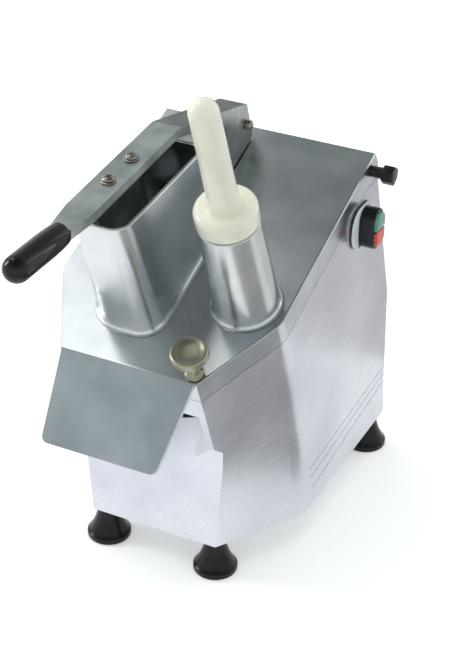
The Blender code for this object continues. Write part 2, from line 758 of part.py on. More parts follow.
def hood():
    """The flat deflector in front of the lid, narrowing to its lower edge."""
    frame = MACHINE @ Matrix.Rotation(HOOD_DROP - LID_SLOPE, 4, "X")
    half = LID_FRONT_HALF - LID_EDGE
    corners = [(-half, 0), (-HOOD_TIP_HALF, -HOOD_LENGTH), (HOOD_TIP_HALF, -HOOD_LENGTH), (half, 0)]
    outline = rounded(corners, [0, HOOD_CORNER, HOOD_CORNER, 0])
    sheet = prism(outline, -HOOD_PLATE, 0, frame)
    fill = [(-0.0005, -0.0006), (0.0008, -0.00005), (0.005, -0.0006), (0.005, -LID_PLATE), (-0.0015, -0.006)]
    return join(sheet, prism(fill, -half + 0.0005, half - 0.0005, ACROSS))


def hopper_outline(grow, set_back=0.0):
    """The hopper in plan, grown outwards: a long D with wide corners on the left.

    Set back shortens its rear.
    """
    left, right = -HOPPER_LEFT - grow, HOPPER_RIGHT + grow
    front, rear = HOPPER_FRONT_S - grow, HOPPER_REAR_S - set_back + grow
    wide, small = HOPPER_ROUND + grow, HOPPER_CORNER + grow
    return rounded([(left, front), (right, front), (right, rear), (left, rear)],
                   [wide, small, small, wide], 8)


def hopper_casting():
    """The feed hopper: drafted walls, a fillet at the lid and a rim that is nearly level."""
    high = 0.150
    levels = [(-COLLAR_DEPTH, -2 * GAP), (GAP, -2 * GAP), (GAP, FILLET * 0.8), (0.0012, FILLET * 0.45)]
    levels += [(0.0028, FILLET * 0.15), (FILLET + 0.001, -FILLET * HOPPER_DRAFT),
               (high, -high * HOPPER_DRAFT)]
    rings = [[LID @ Vector((u, v, n)) for u, v in hopper_outline(grow)] for n, grow in levels]
    body = loft(rings)
    inner = ((-0.05, 0), (0, 0), (high + 0.01, -high * HOPPER_DRAFT))
    bore = [[LID @ Vector((u, v, n)) for u, v in hopper_outline(grow - HOPPER_WALL)] for n, grow in inner]
    cut(body, loft(bore))
    fall = HOPPER_RIM_FALL
    rim = [(-0.05, HOPPER_RIM_FRONT + fall * (HOPPER_RIM_S + 0.05)),
           (0.30, HOPPER_RIM_FRONT + fall * (HOPPER_RIM_S - 0.30))]
    above = rim + [(0.30, 0.30), (-0.05, 0.30)]
    return cut(body, prism(above, -0.2, 0.2, LID_SIDE))


def tube_casting():
    """The round feed tube beside the hopper."""
    outer = [(TUBE_RADIUS, -COLLAR_DEPTH), (TUBE_RADIUS, GAP), (TUBE_RADIUS + FILLET * 0.8, GAP)]
    outer += [(TUBE_RADIUS + FILLET * 0.45, 0.0012), (TUBE_RADIUS + FILLET * 0.12, 0.0030)]
    outer += [(TUBE_RADIUS - 0.0002, FILLET + 0.001), (TUBE_TOP_RADIUS, TUBE_HEIGHT - 0.001)]
    outer += [(TUBE_TOP_RADIUS - 0.0008, TUBE_HEIGHT)]
    profile = outer + [(TUBE_BORE, TUBE_HEIGHT), (TUBE_BORE, -COLLAR_DEPTH)]
    return turned(profile, at(LID, TUBE_X, TUBE_S, 0), FINE)


def round_pusher():
    """The moulded hand pusher: a plunger that fills the tube, a flange that rests on it and a stick."""
    base = TUBE_HEIGHT + GAP
    top = base + FLANGE_HEIGHT
    plunger = TUBE_BORE - 0.0006
    profile = [(0, PLUNGER_BOTTOM), (plunger - 0.001, PLUNGER_BOTTOM), (plunger, PLUNGER_BOTTOM + 0.001),
               (plunger, base)]
    edge = FLANGE_ROUND
    profile += [(FLANGE_RADIUS - 0.0018, base), (FLANGE_RADIUS, base + 0.006), (FLANGE_RADIUS, top - edge)]
    profile += arc((FLANGE_RADIUS - edge, top - edge), edge, 22.5, 90, 3)
    profile += [(STICK_RADIUS + 0.003, top), (STICK_RADIUS + 0.0008, top + 0.0012),
                (STICK_RADIUS, top + 0.004)]
    centre = STICK_TOP - STICK_TOP_RADIUS
    profile += [(STICK_TOP_RADIUS * cos(radians(a)), centre + STICK_TOP_RADIUS * sin(radians(a)))
                for a in range(0, 90, 15)]
    profile.append((0, STICK_TOP))
    return turned(profile, at(LID, TUBE_X, TUBE_S, 0), 32)


def lever_top(y):
    """The height of the lever's upper edge over its front stretch."""
    slope = (LEVER_KNEE_Z - LEVER_FRONT_Z) / (LEVER_KNEE_Y - LEVER_FRONT_Y)
    return LEVER_FRONT_Z + (y - LEVER_FRONT_Y) * slope


def lever_casting():
    """The hand lever: a flat bar, a knee and a deep forked block that straddles the lug of the lid."""
    rear_top = lid_to_side(LEVER_REAR_S, LEVER_REAR_N)
    foot_rear = lid_to_side(LEVER_FOOT_S, LEVER_BLOCK_GAP)
    foot_front = lid_to_side(LEVER_BLOCK_S, LEVER_BLOCK_GAP)
    under_knee = (LEVER_KNEE_Y + 0.022, LEVER_KNEE_Z - LEVER_DEPTH - 0.006)
    outline = [(LEVER_FRONT_Y, LEVER_FRONT_Z - LEVER_DEPTH), (LEVER_FRONT_Y, LEVER_FRONT_Z)]
    outline += [(LEVER_KNEE_Y, LEVER_KNEE_Z), rear_top, foot_rear, foot_front, under_knee]
    outline += [(LEVER_KNEE_Y - 0.004, LEVER_KNEE_Z - LEVER_DEPTH)]
    low, high = LEVER_X - LEVER_WIDTH / 2, LEVER_X + LEVER_WIDTH / 2
    lever = prism(rounded(outline, [0, 0, 0.006, 0.004, 0.004, 0.004, 0.008, 0.004], 3), low, high, SIDE)
    tip, full = LEVER_TIP_WIDTH / 2, LEVER_WIDTH / 2
    taper, rear = LEVER_FRONT_Y + LEVER_TAPER, LEVER_KNEE_Y + 0.3
    plan = [(-tip, LEVER_FRONT_Y - 0.01), (tip, LEVER_FRONT_Y - 0.01), (tip, LEVER_FRONT_Y),
            (full + 0.001, taper)]
    plan += [(full + 0.001, rear), (-full - 0.001, rear), (-full - 0.001, taper), (-tip, LEVER_FRONT_Y)]
    keep(lever, prism(plan, 0.1, 0.6, at(MACHINE, LEVER_X, 0, 0)))
    tang = cylinder(GRIP_RADIUS * 0.45, LEVER_FRONT_Y - TANG_LENGTH, LEVER_FRONT_Y + 0.004, grip_frame(),
                    SMALL)
    join(lever, tang)
    slot = LUG_WIDTH / 2 + FORK_GAP
    cut(lever, box((LEVER_X - slot, PIVOT_S - LUG_RADIUS - 0.0007, -0.01),
                   (LEVER_X + slot, 0.32, PIVOT_N + LUG_RADIUS + 0.0025), LID))
    cut(lever, cylinder(PIVOT_RADIUS + GAP, LEVER_X - 0.05, LEVER_X + 0.05,
                        along_x(LID, 0, PIVOT_S, PIVOT_N), SMALL))
    for y in LEVER_SCREW_Y:
        cut(lever, cylinder(SCREW_SHANK + GAP, -0.03, 0.03, lever_screw_frame(y), SMALL))
    return lever


def grip_frame():
    """Z runs to the rear along the grip, at the machine's own y."""
    return at(MACHINE, LEVER_X, 0, GRIP_Z) @ Matrix.Rotation(-pi / 2, 4, "X")


def lever_screw_frame(y):
    """Z stands square on the lever's upper face at y."""
    slope = atan2(LEVER_KNEE_Z - LEVER_FRONT_Z, LEVER_KNEE_Y - LEVER_FRONT_Y)
    return at(MACHINE, LEVER_X, y, lever_top(y)) @ Matrix.Rotation(slope, 4, "X")


def lever_grip():
    """The dipped plastic grip: a round end, a full middle and a flat-sided mouth over the bar."""
    tip = GRIP_TIP_Y + GRIP_RADIUS
    profile = [(0, GRIP_TIP_Y)]
    profile += [(GRIP_RADIUS * cos(radians(a)), tip + GRIP_RADIUS * sin(radians(a)))
                for a in range(-75, 1, 15)]
    profile += [(GRIP_RADIUS, LEVER_FRONT_Y - GRIP_TAPER), (GRIP_RADIUS * 0.97, LEVER_FRONT_Y - 0.012)]
    profile += [(GRIP_RADIUS * 0.90, LEVER_FRONT_Y - GAP), (0, LEVER_FRONT_Y - GAP)]
    grip = turned(profile, grip_frame(), MEDIUM)
    return cut(grip, cylinder(GRIP_RADIUS * 0.45 + GAP, LEVER_FRONT_Y - TANG_LENGTH - 0.001,
                              LEVER_FRONT_Y + 0.01, grip_frame(), SMALL))


def pusher_arm():
    """The web under the lever that carries the pusher, with a flange screwed to the bar."""
    slope = (LEVER_KNEE_Z - LEVER_FRONT_Z) / (LEVER_KNEE_Y - LEVER_FRONT_Y)
    under = -LEVER_DEPTH - GAP
    front = (WEB_FRONT_Y, lever_top(WEB_FRONT_Y) + under)
    rear = (WEB_REAR_Y, lever_top(WEB_REAR_Y) + under)
    seat = PUSHER_BOTTOM + PUSHER_PLATE + GAP
    foot_rear = lid_to_side(WEB_FOOT_REAR_S, seat)
    foot_front = lid_to_side(WEB_FOOT_FRONT_S, seat)
    web = prism([front, rear, foot_rear, foot_front], LEVER_X - WEB_THICKNESS / 2,
                LEVER_X + WEB_THICKNESS / 2, SIDE)
    cap = [front, rear, (rear[0], rear[1] - WEB_FLANGE), (front[0], front[1] - WEB_FLANGE)]
    half = WEB_FLANGE_WIDTH / 2
    join(web, prism(cap, LEVER_X - half, LEVER_X + half, SIDE))
    low = [(WEB_FOOT_FRONT_S, seat), (WEB_FOOT_REAR_S, seat), (WEB_FOOT_REAR_S, seat + WEB_FLANGE),
           (WEB_FOOT_FRONT_S, seat + WEB_FLANGE)]
    join(web, prism(low, LEVER_X - half, LEVER_X + half, LID_SIDE))
    for y in LEVER_SCREW_Y:
        cut(web, cylinder(SCREW_SHANK + GAP, -0.022, 0.0, lever_screw_frame(y), SMALL))
    return web


def pusher_plate():
    """The D-shaped pusher.

    It is shorter than the hopper at its rear, so that it swings out about the lever pivot.
    """
    outline = hopper_outline(-HOPPER_WALL - PUSHER_GAP, PUSHER_SET_BACK)
    return prism(outline, PUSHER_BOTTOM, PUSHER_BOTTOM + PUSHER_PLATE, LID)


def lever_screw(y):
    frame = lever_screw_frame(y)
    low = WASHER + 2 * GAP
    head = [(LEVER_SCREW_RADIUS, low), (LEVER_SCREW_RADIUS, low + 0.0014),
            (LEVER_SCREW_RADIUS * 0.75, low + SCREW_HEAD * 0.85)]
    profile = [(0, -0.017), (SCREW_SHANK, -0.017), (SCREW_SHANK, low)] + head + [(0, low + SCREW_HEAD)]
    screw = turned(profile, frame, SMALL)
    for size in ((0.0034, 0.0005), (0.0005, 0.0034)):
        recess = (-size[0], -size[1], low + SCREW_HEAD * 0.45), (size[0], size[1], low + 0.01)
        cut(screw, box(*recess, frame))
    return screw


def lever_washer(y):
    return ring(SCREW_SHANK + GAP, WASHER_RADIUS, GAP, GAP + WASHER, lever_screw_frame(y), SMALL)


def pivot_bolt():
    """The bolt of the lever: a round head on the right cheek and a thread for the nut on the left."""
    frame = along_x(LID, LEVER_X, PIVOT_S, PIVOT_N)
    right = LEVER_WIDTH / 2 + GAP
    left = -LEVER_WIDTH / 2 - 0.0075
    head = PIVOT_HEAD_RADIUS
    profile = [(0, left), (PIVOT_RADIUS, left), (PIVOT_RADIUS, right), (head, right), (head, right + 0.0045)]
    profile += [(head * 0.75, right + 0.0058), (0, right + 0.0062)]
    return turned(profile, frame, SMALL)


def pivot_nut():
    frame = along_x(LID, LEVER_X, PIVOT_S, PIVOT_N)
    left = -LEVER_WIDTH / 2 - GAP
    nut = cylinder(0.0072, left - 0.0062, left, frame, 6)
    return cut(nut, cylinder(PIVOT_RADIUS + GAP, left - 0.02, 0, frame, SMALL))


def hinge_rod():
    """The long rod of the lid's hinge, with the end that the knob is moulded on."""
    frame = along_x(LID, 0, HINGE_S, HINGE_N)
    return cylinder(HINGE_ROD_RADIUS, -LID_HALF + 0.001, LID_HALF + HINGE_NECK_LENGTH, frame, SMALL)


def hinge_knob():
    """The black knob of the hinge rod: a round neck and a head with three broad lobes."""
    frame = along_x(LID, 0, HINGE_S, HINGE_N)
    start = LID_HALF + 0.0005
    head = start + HINGE_NECK_LENGTH
    knob = cylinder(HINGE_NECK_RADIUS, start, head + 0.001, frame, SMALL)
    lobes = []
    for k in range(6):
        angle = pi / 3 * k + pi / 6
        radius = HINGE_HEAD_RADIUS * (1.0 if k % 2 else 0.86)
        lobes.append((radius * cos(angle), radius * sin(angle)))
    join(knob, prism(rounded(lobes, [0.0022] * 6, 3), head, head + HINGE_HEAD_LENGTH, frame))
    return cut(knob, cylinder(HINGE_ROD_RADIUS + GAP, start - 0.01, head + GAP, frame, SMALL))


def latch_knob():
    """The front latch: a dished metal knob on a stem that ends in a cross bar under the rim."""
    r = LATCH_KNOB_RADIUS
    low, top = LATCH_KNOB_BOTTOM, LATCH_KNOB_TOP
    profile = [(0, -LATCH_BAR_TOP - 0.001), (LATCH_STEM_RADIUS, -LATCH_BAR_TOP - 0.001),
               (LATCH_STEM_RADIUS, 0.0006)]
    profile += [(LATCH_NECK_RADIUS + 0.002, 0.0006), (LATCH_NECK_RADIUS + 0.002, 0.004),
                (LATCH_NECK_RADIUS, 0.006)]
    profile += [(LATCH_NECK_RADIUS, low - 0.004), (r - 0.006, low - 0.001), (r - 0.001, low),
                (r, low + 0.0015)]
    profile += [(r, top - 0.003), (r - 0.0008, top - 0.001), (r - 0.0025, top), (r - 0.0045, top - 0.0006)]
    profile += [(r - 0.0065, top - 0.0018), (0, top - 0.0022)]
    frame = at(LID, LATCH_X, LATCH_S, 0)
    knob = turned(profile, frame, 32)
    half, width = LATCH_BAR_LENGTH / 2, LATCH_BAR_WIDTH / 2
    bar = box((-width, -half, -LATCH_BAR_TOP - LATCH_BAR_HEIGHT), (width, half, -LATCH_BAR_TOP), frame)
    return join(knob, bar)


def switch_gasket():
    """The thick rubber plate between the switch and the wall."""
    outline = rectangle(GASKET_WIDTH, GASKET_HEIGHT, GASKET_CORNER, (SWITCH_Y, SWITCH_Z))
    plate = prism(outline, WALL_OUT_X, WALL_OUT_X + GASKET, SIDE)
    return cut(plate, prism(switch_body_outline(2 * GAP), 0.09, 0.14, SIDE))


def switch_body_outline(grow):
    """The part of the switch that passes through the wall, lower than its face so that it clears the deck."""
    return rectangle(SWITCH_BODY_WIDTH + grow, SWITCH_BODY_HEIGHT + grow, 0,
                     (SWITCH_Y, SWITCH_Z - SWITCH_BODY_DROP))


def switch_face():
    return WALL_OUT_X + GASKET + GAP + SWITCH_DEPTH


def switch_housing():
    """The black switch housing: a collar outside the wall, a body inside it and wells for two buttons."""
    face = switch_face()
    housing = prism(rectangle(SWITCH_WIDTH, SWITCH_HEIGHT, SWITCH_CORNER, (SWITCH_Y, SWITCH_Z)),
                    face - SWITCH_DEPTH, face, SIDE)
    join(housing, prism(switch_body_outline(0), face - SWITCH_DEPTH - SWITCH_BODY_DEPTH,
                        face - SWITCH_DEPTH + 0.001, SIDE))
    for z in button_heights():
        cut(housing, prism(button_outline(z, GAP), face - BUTTON_WELL, face + 0.01, SIDE))
    return housing


def button_heights():
    return SWITCH_Z + BUTTON_PITCH / 2, SWITCH_Z - BUTTON_PITCH / 2


def button_outline(z, grow):
    """One button from the front: straight where the two meet, round where the housing is round."""
    half, reach = BUTTON_WIDTH / 2 + grow, BUTTON_HEIGHT / 2 + grow
    corners = [(SWITCH_Y - half, z - reach), (SWITCH_Y + half, z - reach)]
    corners += [(SWITCH_Y + half, z + reach), (SWITCH_Y - half, z + reach)]
    outer, inner = BUTTON_ROUND + grow, 0.0015 + grow
    upper = z > SWITCH_Z
    return rounded(corners, [inner, inner, outer, outer] if upper else [outer, outer, inner, inner])


def push_button(z):
    face = switch_face()
    low = face - BUTTON_WELL + BUTTON_TRAVEL + 0.0008
    levels = ((low, 0), (face + BUTTON_PROUD - 0.001, 0), (face + BUTTON_PROUD, -0.001))
    return loft([[SIDE @ Vector((u, v, x)) for u, v in button_outline(z, grow)] for x, grow in levels])


def spindle():
    profile = [(0, -PULLEY_TOP - PULLEY_WIDTH - 0.002), (SPINDLE_RADIUS, -PULLEY_TOP - PULLEY_WIDTH - 0.002)]
    step = -BOWL_DEPTH + EJECTOR_LIFT
    profile += [(SPINDLE_RADIUS, step), (SPINDLE_NOSE_RADIUS, step), (SPINDLE_NOSE_RADIUS, -0.0255)]
    profile += [(SPINDLE_STUD_RADIUS, -0.0255), (SPINDLE_STUD_RADIUS, -0.0185), (0, -0.0185)]
    shaft = turned(profile, at(LID, 0, DISC_S, 0), MEDIUM)
    return cut(shaft, cylinder(PIN_RADIUS + GAP, -0.03, 0.03, pin_frame(), SMALL))


def pin_frame():
    return along_x(LID, 0, DISC_S, PIN_LIFT - BOWL_DEPTH)


def drive_pin():
    return cylinder(PIN_RADIUS, -EJECTOR_HUB_RADIUS + 0.001, EJECTOR_HUB_RADIUS - 0.001, pin_frame(), SMALL)


def ejector_disc():
    """The lower disc that throws the slices out: a plate, a hub and two swept paddles."""
    low = -BOWL_DEPTH + EJECTOR_LIFT
    top = -DISC_HUB_BOTTOM - GAP
    bore = SPINDLE_NOSE_RADIUS + GAP
    profile = [(bore, low), (EJECTOR_RADIUS - 0.001, low), (EJECTOR_RADIUS, low + 0.001),
               (EJECTOR_RADIUS, low + EJECTOR_PLATE)]
    profile += [(EJECTOR_HUB_RADIUS + 0.004, low + EJECTOR_PLATE),
                (EJECTOR_HUB_RADIUS, low + EJECTOR_PLATE + 0.005)]
    profile += [(EJECTOR_HUB_RADIUS, top), (bore, top)]
    frame = at(LID, 0, DISC_S, 0)
    disc = turned(profile, frame, FINE)
    for k in range(2):
        turn = frame @ Matrix.Rotation(pi * k + 0.4, 4, "Z")
        sweep = [(EJECTOR_HUB_RADIUS - 0.003, 0), (EJECTOR_RADIUS * 0.55, 0.006),
                 (EJECTOR_RADIUS - 0.003, 0.024)]
        paddle = sweep + [(x, y + PADDLE_WIDTH) for x, y in reversed(sweep)]
        join(disc, prism(paddle, low + 0.001, low + EJECTOR_PLATE + PADDLE_HEIGHT, turn))
    return cut(disc, cylinder(PIN_RADIUS + GAP, -0.03, 0.03, pin_frame(), SMALL))


def blade_frame(k):
    return at(LID, 0, DISC_S, 0) @ Matrix.Rotation(2 * pi * k / BLADES + 0.5, 4, "Z")


def slicing_disc():
    """The upper disc: a plate on a hub, with a window before each blade and a recess for its nut."""
    top, low = -DISC_TOP, -DISC_TOP - DISC_PLATE
    bore = SPINDLE_NOSE_RADIUS + GAP
    stud = SPINDLE_STUD_RADIUS + GAP
    seat = top - NUT_HEIGHT - GAP
    profile = [(bore, -DISC_HUB_BOTTOM), (DISC_HUB_RADIUS, -DISC_HUB_BOTTOM), (DISC_HUB_RADIUS, low - 0.004)]
    profile += [(DISC_HUB_RADIUS + 0.004, low), (DISC_RADIUS - 0.001, low), (DISC_RADIUS, low + 0.001),
                (DISC_RADIUS, top - 0.001)]
    profile += [(DISC_RADIUS - 0.001, top), (NUT_RADIUS + 0.0006, top), (NUT_RADIUS + 0.0006, seat),
                (stud, seat), (stud, -0.0252), (bore, -0.0252)]
    disc = turned(profile, at(LID, 0, DISC_S, 0), FINE)
    for k in range(BLADES):
        frame = blade_frame(k)
        outline = rectangle(BLADE_OUTER - BLADE_INNER, WINDOW_WIDTH, 0.004)
        middle = at(frame, (BLADE_INNER + BLADE_OUTER) / 2, BLADE_HEEL + WINDOW_WIDTH / 2, 0)
        cut(disc, prism(outline, low - 0.01, top + 0.01, middle))
    return disc


def blade(k):
    """A slicing blade: a flat heel on the disc, then a lift to a ground edge over the window."""
    base = -DISC_TOP + GAP
    heel, reach, lift, sheet = BLADE_HEEL, BLADE_REACH, BLADE_LIFT, BLADE_SHEET
    section = [(0, base), (heel, base), (reach, base + lift), (reach - 0.004, base + lift + sheet * 0.55)]
    section += [(heel - 0.0006, base + sheet), (0, base + sheet)]
    return prism(section, BLADE_INNER + 0.001, BLADE_OUTER - 0.001, blade_frame(k) @ ACROSS)


def disc_nut():
    top = -DISC_TOP - 0.0003
    bore = SPINDLE_STUD_RADIUS + GAP
    nut = ring(bore, NUT_RADIUS, top - NUT_HEIGHT + 0.0003, top, at(LID, 0, DISC_S, 0))
    for side in (-1, 1):
        cut(nut, cylinder(0.0016, top - 0.003, top + 0.01, at(LID, side * 0.009, DISC_S, 0), 12))
    return nut


def bearing_housing():
    top = -SHOULDER_DEPTH - GAP
    bore = BEARING_RADIUS
    profile = [(bore, top), (BEARING_FLANGE_RADIUS, top), (BEARING_FLANGE_RADIUS, top - BEARING_FLANGE)]
    profile += [(BEARING_TUBE_RADIUS + 0.004, top - BEARING_FLANGE),
                (BEARING_TUBE_RADIUS, top - BEARING_FLANGE - 0.005)]
    profile += [(BEARING_TUBE_RADIUS, -BEARING_TUBE_BOTTOM), (bore, -BEARING_TUBE_BOTTOM)]
    return turned(profile, at(LID, 0, DISC_S, 0), MEDIUM)


def bearing(top):
    """A ball bearing with its shields set back between the two rings."""
    inner, outer = SPINDLE_RADIUS + GAP, BEARING_RADIUS - GAP
    low = top - BEARING_WIDTH
    profile = [(inner, low), (outer, low), (outer, top), (outer - 0.002, top), (outer - 0.0025, top - 0.0006)]
    profile += [(inner + 0.0025, top - 0.0006), (inner + 0.002, top), (inner, top)]
    return turned(profile, at(LID, 0, DISC_S, 0), MEDIUM)


def shaft_seal():
    frame = at(LID, 0, DISC_S, 0)
    return ring(SPINDLE_RADIUS + GAP, SEAL_RADIUS - GAP, -SHOULDER_DEPTH - 0.001, -BOWL_DEPTH + 0.001, frame)


def pulley(s, radius, bore, segments):
    """A flat belt pulley with a flange at each end."""
    top, low = -PULLEY_TOP, -PULLEY_TOP - PULLEY_WIDTH
    edge = radius + FLANGE_RISE
    profile = [(bore, low), (edge, low), (edge, low + PULLEY_FLANGE), (radius, low + PULLEY_FLANGE)]
    profile += [(radius, top - PULLEY_FLANGE), (edge, top - PULLEY_FLANGE), (edge, top), (bore, top)]
    return turned(profile, at(LID, 0, s, 0), segments)


def drive_belt():
    """The belt round both pulleys."""
    span = MOTOR_S - DISC_S
    outlines = []
    for grow in (GAP, GAP + BELT_THICKNESS):
        big, small = DRIVEN_PULLEY_RADIUS + grow, MOTOR_PULLEY_RADIUS + grow
        lean = asin((big - small) / span) * 180 / pi
        outline = arc((0, MOTOR_S), small, lean, 180 - lean, 12)
        outline += arc((0, DISC_S), big, 180 - lean, 360 + lean, 48)
        outlines.append(outline)
    low, high = -PULLEY_TOP - PULLEY_WIDTH + PULLEY_FLANGE + GAP, -PULLEY_TOP - PULLEY_FLANGE - GAP
    return cut(prism(outlines[1], low, high, LID), prism(outlines[0], low - 0.01, high + 0.01, LID))


def motor_housing():
    """The motor can, hung from its plate, with an end bell and a blind bore for its shaft."""
    top, low = -SHOULDER_DEPTH - 2 * GAP - MOTOR_PLATE - GAP, -MOTOR_BOTTOM
    r = MOTOR_RADIUS
    bore = MOTOR_SHAFT_RADIUS + GAP
    profile = [(0, top), (r - 0.003, top), (r, top - 0.003), (r, top - 0.030), (r - 0.003, top - 0.032),
               (r - 0.003, low + 0.028)]
    profile += [(r, low + 0.026), (r, low + 0.008), (r - 0.006, low + 0.002), (0.016, low + 0.002),
                (0.014, low), (bore, low)]
    profile += [(bore, low + 0.008), (0, low + 0.008)]
    return turned(profile, at(LID, 0, MOTOR_S, 0), 32)


def motor_plate():
    """The steel plate between the bowl floor and the motor."""
    top = -SHOULDER_DEPTH - GAP
    front = DISC_S + BEARING_FLANGE_RADIUS + 0.002
    outline = rectangle(2 * MOTOR_RADIUS + 0.01, MOTOR_S + MOTOR_RADIUS + 0.004 - front, 0.006,
                        (0, (front + MOTOR_S + MOTOR_RADIUS + 0.004) / 2))
    return prism(outline, top - MOTOR_PLATE, top, LID)


def motor_shaft():
    frame = at(LID, 0, MOTOR_S, 0)
    return cylinder(MOTOR_SHAFT_RADIUS, -PULLEY_TOP - PULLEY_WIDTH - 0.002, -MOTOR_BOTTOM + 0.0072, frame,
                    SMALL)


def plate_top():
    return BASE_BOTTOM_Z + GAP + PLATE_SHEET


def capacitor():
    low = plate_top() + GAP
    r = CAPACITOR_RADIUS
    profile = [(0, low), (r - 0.001, low), (r, low + 0.001), (r, low + CAPACITOR_HEIGHT - 0.002),
               (r - 0.002, low + CAPACITOR_HEIGHT)]
    profile += [(0.004, low + CAPACITOR_HEIGHT), (0.004, low + CAPACITOR_HEIGHT + 0.005),
                (0, low + CAPACITOR_HEIGHT + 0.005)]
    return turned(profile, at(MACHINE, CAPACITOR_X, CAPACITOR_Y, 0), MEDIUM)


def capacitor_clip():
    """A sheet ring round the capacitor with a leg down to the base plate."""
    frame = at(MACHINE, CAPACITOR_X, CAPACITOR_Y, 0)
    inner = CAPACITOR_RADIUS + GAP
    low = plate_top() + GAP
    top = plate_top() + CLIP_TOP
    half = CLIP_LEG / 2
    near, far = inner + 0.0004, inner + 0.0004 + CLIP_SHEET
    clip = ring(inner, inner + CLIP_SHEET, top - CLIP_HEIGHT, top, frame)
    leg = box((near, -half, low), (far, half, top - CLIP_HEIGHT / 2), frame)
    return join(clip, leg, box((near, -half, low), (inner + CLIP_LEG, half, low + CLIP_SHEET), frame))


def control_board():
    """The relay board on four stand-offs over the base plate."""
    low = plate_top() + GAP
    top = low + BOARD_STAND
    outline = rectangle(BOARD_WIDTH, BOARD_LENGTH, 0, (BOARD_X, BOARD_Y))
    board = prism(outline, top, top + BOARD_SHEET, MACHINE)
    for i in (-1, 1):
        for j in (-1, 1):
            frame = at(MACHINE, BOARD_X + i * (BOARD_WIDTH / 2 - 0.005),
                       BOARD_Y + j * (BOARD_LENGTH / 2 - 0.005), 0)
            join(board, cylinder(0.003, low, top + 0.001, frame, 12))
    middle = at(MACHINE, BOARD_X, BOARD_Y - 0.010, top + BOARD_SHEET)
    half, reach = RELAY_WIDTH / 2, RELAY_LENGTH / 2
    return join(board, box((-half, -reach, -0.001), (half, reach, RELAY_HEIGHT), middle))


def safety_switch():
    """The lid switch under the deck: a small block with a plunger that the lid's peg presses."""
    frame = at(LID, SAFETY_X, SAFETY_S, 0)
    top = RIM_N - DECK - GAP
    block = box((-0.005, -0.014, top - 0.016), (0.005, 0.014, top), frame)
    return join(block, cylinder(PLUNGER_PIN_RADIUS, top - 0.001, -LID_SKIRT - 0.0006, frame, SMALL))


def cable_gland():
    """The inlet of the mains lead on the rear wall."""
    out = BASE_REAR_Y + GAP
    profile = [(0.0035, BASE_REAR_Y - 0.014), (GLAND_RADIUS, BASE_REAR_Y - 0.014), (GLAND_RADIUS, out),
               (GLAND_NUT_RADIUS, out)]
    profile += [(GLAND_NUT_RADIUS, out + GLAND_LENGTH * 0.5), (GLAND_RADIUS, out + GLAND_LENGTH * 0.9)]
    profile += [(0.0055, out + GLAND_LENGTH), (0.0035, out + GLAND_LENGTH)]
    return turned(profile, gland_frame(), SMALL)


